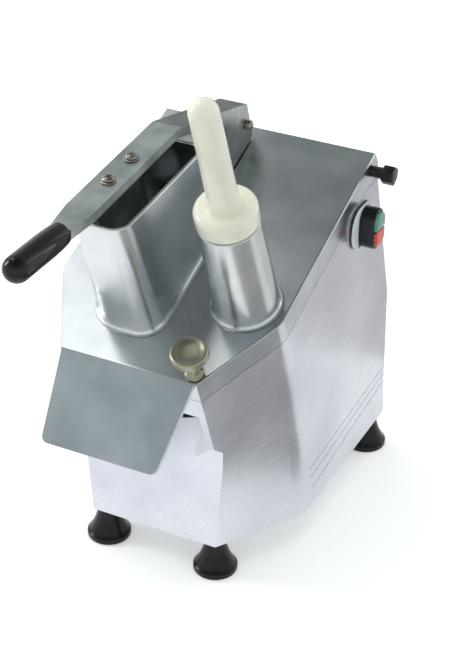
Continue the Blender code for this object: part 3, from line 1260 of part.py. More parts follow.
def build():
    clear_scene()
    root = bpy.data.objects.new("machine", None)
    root.location = (-CENTRE_X, -CENTRE_Y, 0)
    bpy.context.scene.collection.objects.link(root)
    cast = material("polished cast aluminium", (0.62, 0.63, 0.65), 0.28, 1)
    steel = material("stainless steel", (0.56, 0.57, 0.58), 0.25, 1)
    zinc = material("zinc plated steel", (0.50, 0.51, 0.52), 0.40, 1)
    nickel = material("nickel plated brass", (0.48, 0.46, 0.36), 0.25, 1)
    nylon = material("natural nylon", (0.80, 0.80, 0.66), 0.35, 0)
    black = material("black plastic", (0.01, 0.01, 0.011), 0.30, 0)
    rubber = material("black rubber", (0.015, 0.015, 0.016), 0.60, 0)
    grey = material("grey rubber", (0.30, 0.32, 0.34), 0.60, 0)
    green = material("green plastic", (0.03, 0.22, 0.12), 0.35, 0)
    red = material("red plastic", (0.60, 0.04, 0.02), 0.35, 0)
    painted = material("grey enamel", (0.10, 0.11, 0.12), 0.45, 0)
    resin = material("green board resin", (0.02, 0.12, 0.05), 0.50, 0)
    tin = material("tinned can", (0.62, 0.63, 0.64), 0.35, 1)

    hinge = LID @ Vector((0, HINGE_S, HINGE_N))
    pivot = LID @ Vector((LEVER_X, PIVOT_S, PIVOT_N))
    disc_axis = LID @ Vector((0, DISC_S, -DISC_TOP))
    motor_axis = LID @ Vector((0, MOTOR_S, -PULLEY_TOP))
    tube_axis = LID @ Vector((TUBE_X, TUBE_S, 0))
    latch_axis = LID @ Vector((LATCH_X, LATCH_S, 0))

    finish(base_casting(), "base_casting", cast, root)
    finish(base_plate(), "base_plate", zinc, root)
    for name, (x, y) in zip(("front_right", "front_left", "rear_right", "rear_left"), foot_places()):
        finish(foot(x, y), "foot_" + name, rubber, root)
    finish(bearing_housing(), "bearing_housing", cast, root)
    finish(bearing(-UPPER_BEARING_TOP), "upper_bearing", steel, root)
    finish(bearing(-LOWER_BEARING_TOP), "lower_bearing", steel, root)
    finish(shaft_seal(), "shaft_seal", rubber, root)
    finish(motor_plate(), "motor_plate", zinc, root)
    finish(motor_housing(), "motor_housing", painted, root)
    finish(drive_belt(), "drive_belt", rubber, root)
    finish(capacitor(), "capacitor", tin, root)
    finish(capacitor_clip(), "capacitor_clip", zinc, root)
    finish(control_board(), "control_board", resin, root)
    finish(safety_switch(), "safety_switch", black, root)
    finish(cable_gland(), "cable_gland", black, root)
    finish(switch_gasket(), "switch_gasket", grey, root)
    finish(switch_housing(), "switch_housing", black, root)

    for name, colour, z in zip(("start_button", "stop_button"), (green, red), button_heights()):
        finish(push_button(z), name, colour, root, Vector((switch_face(), SWITCH_Y, z)))

    finish(spindle(), "spindle", steel, root, disc_axis)
    finish(drive_pin(), "drive_pin", steel, root, disc_axis)
    finish(ejector_disc(), "ejector_disc", cast, root, disc_axis)
    finish(slicing_disc(), "slicing_disc", cast, root, disc_axis)
    for k in range(BLADES):
        finish(blade(k), f"blade_{k + 1}", steel, root, disc_axis)
    finish(disc_nut(), "disc_nut", steel, root, disc_axis)
    finish(pulley(DISC_S, DRIVEN_PULLEY_RADIUS, SPINDLE_RADIUS + GAP, FINE), "driven_pulley", zinc, root,
           disc_axis)

    finish(motor_shaft(), "motor_shaft", steel, root, motor_axis)
    finish(pulley(MOTOR_S, MOTOR_PULLEY_RADIUS, MOTOR_SHAFT_RADIUS + GAP, MEDIUM), "motor_pulley", zinc,
           root, motor_axis)

    finish(lid_casting(), "lid_casting", cast, root, hinge)
    finish(hopper_casting(), "hopper_casting", cast, root, hinge)
    finish(tube_casting(), "tube_casting", cast, root, hinge)
    finish(hinge_rod(), "hinge_rod", steel, root, hinge)
    finish(hinge_knob(), "hinge_knob", black, root, hinge)
    finish(latch_knob(), "latch_knob", nickel, root, latch_axis)
    finish(round_pusher(), "round_pusher", nylon, root, tube_axis)

    finish(lever_casting(), "lever_casting", cast, root, pivot)
    finish(lever_grip(), "lever_grip", black, root, pivot)
    finish(pusher_arm(), "pusher_arm", cast, root, pivot)
    finish(pusher_plate(), "pusher_plate", cast, root, pivot)
    finish(pivot_bolt(), "pivot_bolt", zinc, root, pivot)
    finish(pivot_nut(), "pivot_nut", zinc, root, pivot)
    for name, y in zip(("front", "rear"), LEVER_SCREW_Y):
        finish(lever_screw(y), "lever_screw_" + name, steel, root, pivot)
        finish(lever_washer(y), "lever_washer_" + name, steel, root, pivot)


build()
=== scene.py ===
import json
from math import acos, atan2, cos, pi, radians, sin, tan

import bmesh
import bpy
from mathutils import Matrix, Vector


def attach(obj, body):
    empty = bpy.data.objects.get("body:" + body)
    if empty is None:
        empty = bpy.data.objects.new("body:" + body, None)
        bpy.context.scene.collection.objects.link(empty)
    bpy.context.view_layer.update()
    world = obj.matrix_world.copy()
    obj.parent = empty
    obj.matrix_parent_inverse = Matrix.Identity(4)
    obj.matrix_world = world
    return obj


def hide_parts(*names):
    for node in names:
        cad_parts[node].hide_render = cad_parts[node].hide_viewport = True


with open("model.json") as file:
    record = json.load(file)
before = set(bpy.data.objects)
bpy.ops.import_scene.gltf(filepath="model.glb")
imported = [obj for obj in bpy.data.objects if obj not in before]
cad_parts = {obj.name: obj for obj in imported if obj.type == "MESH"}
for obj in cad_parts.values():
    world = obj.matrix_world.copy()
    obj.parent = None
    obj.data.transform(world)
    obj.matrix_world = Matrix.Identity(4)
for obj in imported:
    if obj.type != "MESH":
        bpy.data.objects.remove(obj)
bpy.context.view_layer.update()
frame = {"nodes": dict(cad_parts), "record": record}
NODES = frame["nodes"]
BODY_OF = {node: body for body, nodes in frame["record"]["behaviour"]["bodies"].items() for node in nodes}

# Frames: the machine's own one, and the sloping frame of the lid, both inside the part's frame.
MACHINE = Matrix.Translation((-0.004, -0.058, 0))
LID = MACHINE @ Matrix.Translation((0, -0.0439, 0.2451)) @ Matrix.Rotation(radians(21.4), 4, "X")

# Sizes of the pieces that are made finer here, the same as in the part, in metres
GAP = 0.0003
TUBE_X, TUBE_S = 0.0723, 0.0975
TUBE_RADIUS, TUBE_TOP_RADIUS, TUBE_BORE, TUBE_HEIGHT = 0.030, 0.0276, 0.0245, 0.1075
COLLAR_DEPTH, FILLET, FILLET_SHARE = 0.013, 0.005, 0.85
FLANGE_RADIUS, FLANGE_HEIGHT = 0.0281, 0.0205
STICK_RADIUS, STICK_TOP_RADIUS, STICK_TOP = 0.0137, 0.0128, 0.2475
HOPPER_LEFT, HOPPER_RIGHT, HOPPER_FRONT_S, HOPPER_REAR_S = 0.062, 0.010, 0.035, 0.191
HOPPER_ROUND, HOPPER_CORNER, HOPPER_WALL = 0.038, 0.020, 0.0035
HOPPER_DRAFT = tan(radians(1.9))
HOPPER_RIM_FRONT, HOPPER_RIM_S, HOPPER_RIM_FALL = 0.1275, 0.0584, tan(radians(15.1))
LEVER_X, LEVER_FRONT_Y, LEVER_FRONT_Z, LEVER_KNEE_Y, LEVER_KNEE_Z = -0.024, -0.104, 0.404, 0.077, 0.422
GRIP_TIP_Y, GRIP_RADIUS, GRIP_Z = -0.1815, 0.0119, 0.3985
SCREWS_Y = (-0.026, 0.0136)
LATCH_X, LATCH_S = 0.0625, 0.010
LATCH_RADIUS, LATCH_LOW, LATCH_TOP = 0.017, 0.0245, 0.0335
LATCH_BAR_SIZE, LATCH_BAR_DROP = (0.0045, 0.010, 0.004), 0.0335
HINGE_S, HINGE_N = 0.294, -0.015
HINGE_KNOB_X, HINGE_NECK, HINGE_HEAD = 0.1125, 0.0105, 0.0115
HINGE_LOBE, HINGE_NECK_RADIUS, HINGE_HOLE_RADIUS = 0.0103, 0.0058, 0.0043
SWITCH_Y, SWITCH_Z, SWITCH_FACE = 0.2107, 0.293, 0.1303
SWITCH_HALF_WIDTH, SWITCH_HALF_HEIGHT, SWITCH_CORNER, SWITCH_DEPTH = 0.013, 0.0205, 0.0125, 0.0145
SWITCH_TAIL_SIZE, SWITCH_TAIL_BACK, SWITCH_TAIL_DROP = (0.0258, 0.021, 0.026), 0.0131, 0.0065
CAP_OFFSET, CAP_HALF_WIDTH, CAP_HALF_HEIGHT, CAP_CORNER, CAP_RISE = 0.0089, 0.01025, 0.00825, 0.0088, 0.0035
FOOT_RADIUS, FOOT_NECK_RADIUS, FOOT_TOP = 0.0215, 0.0105, 0.0366
FOOT_PLACES = [(side * x, y, 0) for x, y in ((0.0585, 0.0155), (0.105, 0.276)) for side in (1, -1)]

# Points closer than these are merged, and faces that bend less than this angle are made one
MERGE, CAD_MERGE, FLAT_ANGLE = 1e-6, 2e-5, radians(0.3)
# The seed of the screws' random turn
SEED = 7

# The photograph's view, found by fitting known points of the machine
CAMERA_PLACE, CAMERA_LENS = (0.64302, -1.21769, 1.06333), 97.17
CAMERA_AZIMUTH, CAMERA_ELEVATION, CAMERA_ROLL = radians(26.30), radians(30.99), radians(0.59)
FLOOR_RADIUS = 1.7


# Mesh tools

def piece_of(mesh, name):
    """A new object of that mesh, linked to the scene."""
    thing = bpy.data.objects.new(name, mesh)
    bpy.context.scene.collection.objects.link(thing)
    return thing


def mesh_of(name, vertices, faces, angle=35):
    """A clean closed mesh that faces outwards, smooth except over edges sharper than the angle."""
    mesh = bpy.data.meshes.new(name)
    mesh.from_pydata([tuple(v) for v in vertices], [], faces)
    shape = bmesh.new()
    shape.from_mesh(mesh)
    bmesh.ops.remove_doubles(shape, verts=shape.verts, dist=MERGE)
    bmesh.ops.recalc_face_normals(shape, faces=shape.faces)
    smooth(shape, angle)
    shape.to_mesh(mesh)
    shape.free()
    return mesh


def smooth(shape, angle):
    """Smooth shading, with the edges sharper than the angle left sharp."""
    for face in shape.faces:
        face.smooth = True
    for edge in shape.edges:
        edge.smooth = len(edge.link_faces) == 2 and edge.calc_face_angle(0) < radians(angle)


def turned(name, profile, place, segments=96, angle=35):
    """A turned piece from a profile of (radius, height).

    The profile runs from one end of the axis to the other, or is a closed ring.
    """
    vertices, rows = [], []
    for radius, height in profile:
        if radius < 1e-7:
            rows.append([len(vertices)] * segments)
            vertices.append(place @ Vector((0, 0, height)))
            continue
        rows.append(list(range(len(vertices), len(vertices) + segments)))
        for k in range(segments):
            turn = 2 * pi * k / segments
            vertices.append(place @ Vector((radius * cos(turn), radius * sin(turn), height)))
    closed = profile[0][0] > 1e-7
    pairs = list(zip(rows, rows[1:] + rows[:1] if closed else rows[1:]))
    faces = []
    for low, high in pairs:
        for k in range(segments):
            m = (k + 1) % segments
            corners = [low[k], low[m], high[m], high[k]]
            faces.append([c for i, c in enumerate(corners) if c != corners[i - 1]])
    return mesh_of(name, vertices, faces, angle)


def lofted(name, rings, closed=False, angle=35):
    """Skins rings of equal length; both ends are capped unless the last ring joins the first."""
    count = len(rings[0])
    vertices = [v for ring in rings for v in ring]
    faces = []
    for r in range(len(rings) if closed else len(rings) - 1):
        low, high = r * count, (r + 1) % len(rings) * count
        faces += [[low + k, low + (k + 1) % count, high + (k + 1) % count, high + k] for k in range(count)]
    if not closed:
        faces.append(list(range(count))[::-1])
        faces.append([(len(rings) - 1) * count + k for k in range(count)])
    return mesh_of(name, vertices, faces, angle)


def arc(centre, radius, first, last, steps=8):
    """Points on an arc between two angles in degrees."""
    turns = [radians(first + (last - first) * k / steps) for k in range(steps + 1)]
    return [(centre[0] + radius * cos(t), centre[1] + radius * sin(t)) for t in turns]


def rounded(corners, radii, steps=8):
    """A closed outline whose corners are arcs of the given radii."""
    outline = []
    for i, (corner, radius) in enumerate(zip(corners, radii)):
        here = Vector(corner)
        back = (Vector(corners[i - 1]) - here).normalized()
        ahead = (Vector(corners[(i + 1) % len(corners)]) - here).normalized()
        half = acos(max(-1, min(1, back.dot(ahead)))) / 2
        centre = here + (back + ahead).normalized() * (radius / sin(half))
        start = here + back * (radius / tan(half)) - centre
        end = here + ahead * (radius / tan(half)) - centre
        first = atan2(start.y, start.x)
        turn = (atan2(end.y, end.x) - first + pi) % (2 * pi) - pi
        outline += [centre + radius * Vector((cos(first + turn * k / steps), sin(first + turn * k / steps)))
                    for k in range(steps + 1)]
    return outline


def at(place, x, y, z):
    """The place moved by x, y and z along its own axes."""
    return place @ Matrix.Translation((x, y, z))


def plain(thing):
    """The object's evaluated mesh as a plain one, with its modifiers removed."""
    bpy.context.view_layer.update()
    mesh = bpy.data.meshes.new_from_object(thing.evaluated_get(bpy.context.evaluated_depsgraph_get()))
    thing.modifiers.clear()
    thing.data = mesh
    return thing


def show(mesh, name, finish, *nodes):
    """Puts a finished mesh in the place of its CAD nodes, on their body."""
    thing = piece_of(mesh, name) if isinstance(mesh, bpy.types.Mesh) else mesh
    thing.data.materials.clear()
    thing.data.materials.append(finish)
    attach(thing, BODY_OF[nodes[0]])
    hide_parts(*nodes)


def dressed(node, finish, edge, corner=38, segments=3):
    """A clean copy of a CAD solid: flat faces made whole, sharp edges rounded as the real piece's are."""
    mesh = NODES[node].data.copy()
    shape = bmesh.new()
    shape.from_mesh(mesh)
    bmesh.ops.remove_doubles(shape, verts=shape.verts, dist=CAD_MERGE)
    bmesh.ops.dissolve_limit(shape, angle_limit=FLAT_ANGLE, verts=shape.verts, edges=shape.edges)
    smooth(shape, 179)
    shape.to_mesh(mesh)
    shape.free()
    thing = piece_of(mesh, node + "_piece")
    bevel = thing.modifiers.new("edges", "BEVEL")
    bevel.width, bevel.segments = edge, segments
    bevel.limit_method, bevel.angle_limit = "ANGLE", radians(corner)
    bevel.use_clamp_overlap = True
    bevel.harden_normals = True
    normals = thing.modifiers.new("flats", "WEIGHTED_NORMAL")
    normals.keep_sharp = True
    show(plain(thing), node + "_piece", finish, node)


# Material tools

def linear(code):
    """An sRGB hex colour as linear red, green, blue and alpha."""
    parts = [int(code[i:i + 2], 16) / 255 for i in (1, 3, 5)]
    return (*[p / 12.92 if p <= 0.04045 else ((p + 0.055) / 1.055) ** 2.4 for p in parts], 1)


def add(tree, kind, settings=None, values=None, links=None):
    """Adds one node with its settings, its input values and the links into it."""
    node = tree.nodes.new(kind)
    for name, value in (settings or {}).items():
        setattr(node, name, value)
    for name, value in (values or {}).items():
        node.inputs[name].default_value = value
    for name, source in (links or {}).items():
        tree.links.new(source, node.inputs[name])
    return node


def started(name):
    """A new material with only its output and Principled nodes, and its Object coordinates."""
    finish = bpy.data.materials.new(name)
    finish.use_nodes = True
    tree = finish.node_tree
    tree.nodes.clear()
    shader = add(tree, "ShaderNodeBsdfPrincipled")
    add(tree, "ShaderNodeOutputMaterial", links={"Surface": shader.outputs[0]})
    place = add(tree, "ShaderNodeTexCoord").outputs["Object"]
    return finish, tree, shader, place


def between(tone, first, start, last, stop):
    """Sets a colour ramp from one hex colour to another."""
    low, high = tone.color_ramp.elements
    low.position, low.color = start, linear(first)
    high.position, high.color = stop, linear(last)


def end_of(tree):
    """The material's output node."""
    return next(node for node in tree.nodes if node.type == "OUTPUT_MATERIAL")


def per_mm(size):
    """The noise scale whose features are that many millimetres across."""
    return 1000 / size


def metal(name, light, dark, rough, spread, cloud_mm, wave_mm, wave_height, line_mm, line_height, along):
    """A worked metal: a cloudy tone, slow waves in its skin, and the fine lines of its working.

    Along is the stretch of the lines on each axis: a small number makes them run long that way.
    """
    finish, tree, shader, place = started(name)
    shader.inputs["Metallic"].default_value = 1
    cloud = add(tree, "ShaderNodeTexNoise", values={"Scale": per_mm(cloud_mm), "Detail": 3, "Roughness": 0.5},
                links={"Vector": place})
    tone = add(tree, "ShaderNodeValToRGB", links={"Fac": cloud.outputs["Fac"]})
    between(tone, dark, 0.30, light, 0.62)
    tree.links.new(tone.outputs["Color"], shader.inputs["Base Color"])
    stretched = add(tree, "ShaderNodeMapping", values={"Scale": along}, links={"Vector": place})
    lines = add(tree, "ShaderNodeTexNoise", values={"Scale": per_mm(line_mm), "Detail": 3, "Roughness": 0.7},
                links={"Vector": stretched.outputs[0]})
    both = add(tree, "ShaderNodeMath", {"operation": "ADD"},
               links={0: cloud.outputs["Fac"], 1: lines.outputs["Fac"]})
    gloss = add(tree, "ShaderNodeMapRange",
                values={"From Min": 0.6, "From Max": 1.4, "To Min": rough - spread, "To Max": rough + spread},
                links={"Value": both.outputs[0]})
    tree.links.new(gloss.outputs[0], shader.inputs["Roughness"])
    waves = add(tree, "ShaderNodeTexNoise", values={"Scale": per_mm(wave_mm), "Detail": 1},
                links={"Vector": place})
    slow = add(tree, "ShaderNodeBump", values={"Strength": 1, "Distance": wave_height},
               links={"Height": waves.outputs["Fac"]})
    fine = add(tree, "ShaderNodeBump", values={"Strength": 1, "Distance": line_height},
               links={"Height": lines.outputs["Fac"], "Normal": slow.outputs[0]})
    tree.links.new(fine.outputs[0], shader.inputs["Normal"])
    return finish


def moulded(name, light, dark, rough, spread, mottle_mm, skin_mm, skin_height, coat=0.0, sheen=0.5):
    """A moulded plastic or rubber: two near tones in a soft mottle, with the faint skin of its mould.

    Sheen is its specular level.
    """
    finish, tree, shader, place = started(name)
    shader.inputs["IOR"].default_value = 1.5
    shader.inputs["Specular IOR Level"].default_value = sheen
    shader.inputs["Coat Weight"].default_value = coat
    shader.inputs["Coat Roughness"].default_value = 0.12
    cloud = add(tree, "ShaderNodeTexNoise", values={"Scale": per_mm(mottle_mm), "Detail": 3},
                links={"Vector": place})
    tone = add(tree, "ShaderNodeValToRGB", links={"Fac": cloud.outputs["Fac"]})
    between(tone, dark, 0.35, light, 0.60)
    tree.links.new(tone.outputs["Color"], shader.inputs["Base Color"])
    skin = add(tree, "ShaderNodeTexNoise", values={"Scale": per_mm(skin_mm), "Detail": 2},
               links={"Vector": place})
    gloss = add(tree, "ShaderNodeMapRange", values={"To Min": rough - spread, "To Max": rough + spread},
                links={"Value": skin.outputs["Fac"]})
    tree.links.new(gloss.outputs[0], shader.inputs["Roughness"])
    bump = add(tree, "ShaderNodeBump", values={"Strength": 1, "Distance": skin_height},
               links={"Height": skin.outputs["Fac"]})
    tree.links.new(bump.outputs[0], shader.inputs["Normal"])
    return finish


# Finishes of this machine

# The stretch of a metal's lines on each axis: none, upright, to the rear, level all round, along the lever
ALL, UP, REARWARD, LEVEL, BARWARD = (1, 1, 1), (1, 1, 0.04), (1, 0.03, 1), (0.03, 0.03, 1), (1, 0.05, 1)

# The numbers of a metal: roughness and its spread, breadth of clouds and of waves in mm, wave height in m,
# breadth of lines in mm, line height in m. Of a moulding: roughness and its spread, breadth of the mottle and
# of the skin's grain in mm, grain height in m, weight of the clear coat. Real belt lines and mould skins are
# about 0.1 mm apart, too fine to show in the render, so they are drawn several times coarser.

# Sand-cast aluminium, belt polished and buffed: a mirror gone soft, with slow waves from the hand work.
lid_metal = metal("polished cast aluminium", "#D6DADC", "#C0C5C8", 0.24, 0.03, 60, 60, 0.00020, 1.4,
                  0.000001, REARWARD)
# The base casting, ground by an abrasive belt only: satin, brighter, with level lines all round.
base_metal = metal("satin cast aluminium", "#DDDFE5", "#C6C9D2", 0.27, 0.03, 120, 80, 0.00030, 1.6,
                   0.0000008, LEVEL)
# Linished feed tube and hopper: close upright lines over a soft mirror.
tube_metal = metal("buffed aluminium tube", "#DADDDE", "#C4C8CA", 0.25, 0.04, 60, 45, 0.00016, 0.9,
                   0.000003, UP)
# Die-cast lever, lightly buffed: a grey skin that keeps a green tint in its shadows.
lever_metal = metal("buffed cast lever", "#CAD0CB", "#A3AAA5", 0.32, 0.04, 28, 30, 0.00012, 0.9, 0.000002,
                    BARWARD)
# Machined pusher plate and discs: dull, and nearly flat.
disc_metal = metal("machined aluminium disc", "#C8CACC", "#B9BCBF", 0.36, 0.05, 60, 45, 0.00005, 0.5,
                   0.000005, ALL)
# Turned stainless steel: bright and even, with a fine grain.
steel = metal("turned stainless steel", "#CFCECA", "#BDBBB7", 0.25, 0.06, 25, 20, 0.00002, 0.4, 0.000004, ALL)
# Ground blade steel: the brightest metal here, with upright grinding lines.
blade_steel = metal("ground blade steel", "#DCDDDE", "#C8CACC", 0.18, 0.04, 30, 30, 0.00002, 0.4,
                    0.000003, UP)
# Zinc-plated steel sheet: cloudy and bluish.
zinc = metal("zinc plated steel", "#C4C7C9", "#ACB1B4", 0.36, 0.08, 14, 12, 0.00003, 0.6, 0.000004, ALL)
# Plated fastener heads that have browned a little in service.
fastener = metal("plated screw steel", "#ABA79C", "#8B877C", 0.28, 0.08, 6, 6, 0.00003, 0.5, 0.000006, ALL)
# Nickel-plated brass knob: warm, slightly green, with a soft mirror on its crown.
nickel = metal("nickel plated knob", "#A3A28D", "#8A8975", 0.34, 0.05, 20, 14, 0.00006, 0.5, 0.000004, ALL)
# Drawn aluminium can of the capacitor: even and bright, with upright draw lines.
can_metal = metal("drawn aluminium can", "#D0D2D4", "#BFC2C5", 0.28, 0.05, 30, 25, 0.00002, 0.5, 0.000003, UP)
# Natural nylon, moulded: ivory and waxy, with a clear gloss.
ivory = moulded("natural moulded nylon", "#E6E6D2", "#DEDECA", 0.22, 0.04, 30, 1.6, 0.000003, 0.5)
# Dipped vinyl grip: black and wet looking.
grip_black = moulded("dipped black vinyl", "#0B0B0C", "#060607", 0.07, 0.02, 20, 2.0, 0.000004, 0.15,
                     sheen=0.3)
# Moulded rubber of feet, seal and belt: new and shiny, with a soft skin.
foot_rubber = moulded("moulded black rubber", "#0C0D0F", "#08090A", 0.24, 0.06, 12, 1.2, 0.00002, 0.0,
                      sheen=0.3)
# Glossy ABS of switch housing, hinge knob, cable gland and safety switch.
black_abs = moulded("black moulded plastic", "#101012", "#0A0A0C", 0.20, 0.04, 15, 0.8, 0.000006, 0.0,
                    sheen=0.4)
# Pale rubber pad behind the switch: matt and even.
pad_rubber = moulded("grey rubber pad", "#DCE0E3", "#D2D6DA", 0.55, 0.06, 10, 0.8, 0.00001)
# Push caps, moulded in coloured polycarbonate: a full tone under a clear gloss.
start_green = moulded("green push cap", "#4A9382", "#3F8373", 0.16, 0.03, 8, 1.0, 0.000004, 0.6)
stop_red = moulded("red push cap", "#D8402E", "#BE3021", 0.16, 0.03, 8, 1.0, 0.000004, 0.6)
# Stove enamel of the motor can, with its orange peel.
enamel = moulded("grey stove enamel", "#5E6266", "#53575B", 0.38, 0.05, 20, 1.5, 0.00002, 0.1)
# Glass-epoxy board under green solder resist: satin, slightly mottled.
resist = moulded("green solder resist", "#1E6B45", "#175638", 0.30, 0.05, 4, 0.6, 0.00001, 0.2)


# Castings, sheets and inner pieces, dressed from their CAD solids

dressed("base_casting", base_metal, 0.0010)
dressed("lid_casting", lid_metal, 0.0008)
dressed("lever_casting", lever_metal, 0.0018)
for node, finish, edge in (
    ("pusher_arm", lever_metal, 0.0006), ("pusher_plate", disc_metal, 0.0010),
    ("base_plate", zinc, 0.0004), ("bearing_housing", base_metal, 0.0008), ("upper_bearing", steel, 0.0004),
    ("lower_bearing", steel, 0.0004), ("shaft_seal", foot_rubber, 0.0003), ("motor_plate", zinc, 0.0005),
    ("motor_housing", enamel, 0.0008), ("drive_belt", foot_rubber, 0.0003), ("capacitor", can_metal, 0.0008),
    ("capacitor_clip", zinc, 0.0003), ("control_board", resist, 0.0002), ("safety_switch", black_abs, 0.0005),
    ("cable_gland", black_abs, 0.0005), ("switch_gasket", pad_rubber, 0.0006), ("hinge_rod", steel, 0.0004),
    ("pivot_bolt", fastener, 0.0004), ("pivot_nut", fastener, 0.0005), ("spindle", steel, 0.0003),
    ("drive_pin", steel, 0.0003), ("ejector_disc", disc_metal, 0.0006), ("slicing_disc", disc_metal, 0.0006),
    ("blade_1", blade_steel, 0.0001), ("blade_2", blade_steel, 0.0001), ("blade_3", blade_steel, 0.0001),
    ("disc_nut", steel, 0.0004), ("driven_pulley", zinc, 0.0004), ("motor_pulley", zinc, 0.0003),
    ("motor_shaft", steel, 0.0003),
):
    dressed(node, finish, edge)


# Feed tube and feed hopper

def foot_fillet(steps=6):
    """The cast fillet at the foot of a wall, as (growth, height)."""
    turns = [pi / 2 * k / steps for k in range(steps + 1)]
    return [(FILLET * (1 - sin(t)), GAP + FILLET * (1 - cos(t))) for t in turns]


def feed_tube():
    """One closed wall: collar, fillet, tapered outside, rolled lip and straight bore."""
    outer = [(TUBE_RADIUS, -COLLAR_DEPTH), (TUBE_RADIUS, GAP)]
    outer += [(TUBE_RADIUS - GAP + grow * FILLET_SHARE, height) for grow, height in foot_fillet()]
    lip = 0.0011
    outer += arc((TUBE_TOP_RADIUS - lip, TUBE_HEIGHT - lip), lip, 0, 90, 5)
    outer += arc((TUBE_BORE + lip, TUBE_HEIGHT - lip), lip, 90, 180, 5) + [(TUBE_BORE, -COLLAR_DEPTH)]
    show(turned("feed tube", outer, at(LID, TUBE_X, TUBE_S, 0), 128), "feed_tube", tube_metal, "tube_casting")


def hopper_outline(grow):
    """The hopper in plan, grown outwards: a D with wide corners on the left."""
    left, right = -HOPPER_LEFT - grow, HOPPER_RIGHT + grow
    front, rear = HOPPER_FRONT_S - grow, HOPPER_REAR_S + grow
    wide, small = HOPPER_ROUND + grow, HOPPER_CORNER + grow
    return rounded([(left, front), (right, front), (right, rear), (left, rear)],
                   [wide, small, small, wide], 14)


def feed_hopper():
    """One closed wall: collar, fillet, drafted outside, rolled rim, and the drafted inside."""
    step, lip = 0.001, 0.0012
    base, grown = hopper_outline(0), hopper_outline(step)
    ways = [(b - a) / step for a, b in zip(base, grown)]

    def ring(rule):
        """One ring of the wall: the rule gives each point its growth and its height."""
        return [LID @ Vector((*(p + way * grow), height)) for p, way in zip(base, ways)
                for grow, height in [rule(p, way)]]

    def rim(p, way, offset):
        """The height at which a drafted wall, moved by offset, meets the plane of the rim."""
        reach = HOPPER_RIM_FRONT - HOPPER_RIM_FALL * (p.y + offset * way.y - HOPPER_RIM_S)
        return reach / (1 - HOPPER_RIM_FALL * HOPPER_DRAFT * way.y)

    rings = [ring(lambda p, way: (-2 * GAP, -COLLAR_DEPTH)), ring(lambda p, way: (-2 * GAP, GAP))]
    for grow, height in foot_fillet():
        rings.append(ring(lambda p, way: (grow * FILLET_SHARE - height * HOPPER_DRAFT, height)))
    for share in (0.25, 0.5, 0.75):
        rings.append(ring(lambda p, way: (-rim(p, way, 0) * share * HOPPER_DRAFT, rim(p, way, 0) * share)))
    for turn in (0, 22, 45, 68, 90):
        c, s = cos(radians(turn)), sin(radians(turn))
        rings.append(ring(lambda p, way: (-rim(p, way, 0) * HOPPER_DRAFT - lip * (1 - c),
                                          rim(p, way, 0) - lip * (1 - s))))
    for turn in (90, 68, 45, 22, 0):
        c, s = cos(radians(turn)), sin(radians(turn))
        rings.append(ring(lambda p, way: (-rim(p, way, -HOPPER_WALL) * HOPPER_DRAFT - HOPPER_WALL
                                          + lip * (1 - c), rim(p, way, -HOPPER_WALL) - lip * (1 - s))))
    for share in (0.7, 0.35, 0):
        rings.append(ring(lambda p, way: (-rim(p, way, -HOPPER_WALL) * share * HOPPER_DRAFT - HOPPER_WALL,
                                          rim(p, way, -HOPPER_WALL) * share)))
    rings.append(ring(lambda p, way: (-HOPPER_WALL, -COLLAR_DEPTH)))
    show(lofted("feed hopper", rings, closed=True), "feed_hopper", tube_metal, "hopper_casting")


feed_tube()
feed_hopper()


# Hand pusher, grip, knobs and switch

def hand_pusher():
    """The round pusher, turned in one: plunger, collar with rolled edges, and a stick with a round top."""
    base, top = TUBE_HEIGHT + GAP, TUBE_HEIGHT + GAP + FLANGE_HEIGHT
    plunger = TUBE_BORE - 0.0006
    profile = [(0, 0.002), (plunger - 0.001, 0.002), (plunger, 0.003), (plunger, base),
               (FLANGE_RADIUS - 0.0022, base)]
    profile += arc((FLANGE_RADIUS - 0.0030, base + 0.0035), 0.0030, -60, 0, 5)
    profile += arc((FLANGE_RADIUS - 0.006, top - 0.006), 0.006, 0, 90, 10)
    neck = 0.0035
    turns = [pi / 16 * k for k in range(9)]
    profile += [(STICK_RADIUS + neck * (1 - sin(t)), top + neck * (1 - cos(t))) for t in turns]
    crown = STICK_TOP - STICK_TOP_RADIUS
    profile += arc((0, crown), STICK_TOP_RADIUS, 0, 84, 14) + [(0, STICK_TOP)]
    show(turned("hand pusher", profile, at(LID, TUBE_X, TUBE_S, 0), 96, 50), "hand_pusher", ivory,
         "round_pusher")


def lever_handle():
    """The dipped grip, with a rolled mouth over the bar."""
    place = at(MACHINE, LEVER_X, 0, GRIP_Z) @ Matrix.Rotation(-pi / 2, 4, "X")
    tip = GRIP_TIP_Y + GRIP_RADIUS
    bore = GRIP_RADIUS * 0.45 + GAP
    profile = [(0, GRIP_TIP_Y)] + arc((0, tip), GRIP_RADIUS, -84, 0, 14)
    profile += [(GRIP_RADIUS, LEVER_FRONT_Y - 0.026), (GRIP_RADIUS * 0.985, LEVER_FRONT_Y - 0.018)]
    profile += [(GRIP_RADIUS * 0.96, LEVER_FRONT_Y - 0.010), (GRIP_RADIUS * 0.92, LEVER_FRONT_Y - 0.0035)]
    profile += arc((GRIP_RADIUS * 0.90 - 0.0012, LEVER_FRONT_Y - GAP - 0.0014), 0.0014, 20, 90, 5)
    profile += [(bore, LEVER_FRONT_Y - GAP), (bore, LEVER_FRONT_Y - 0.046), (0, LEVER_FRONT_Y - 0.046)]
    show(turned("lever handle", profile, place, 64, 50), "lever_handle", grip_black, "lever_grip")


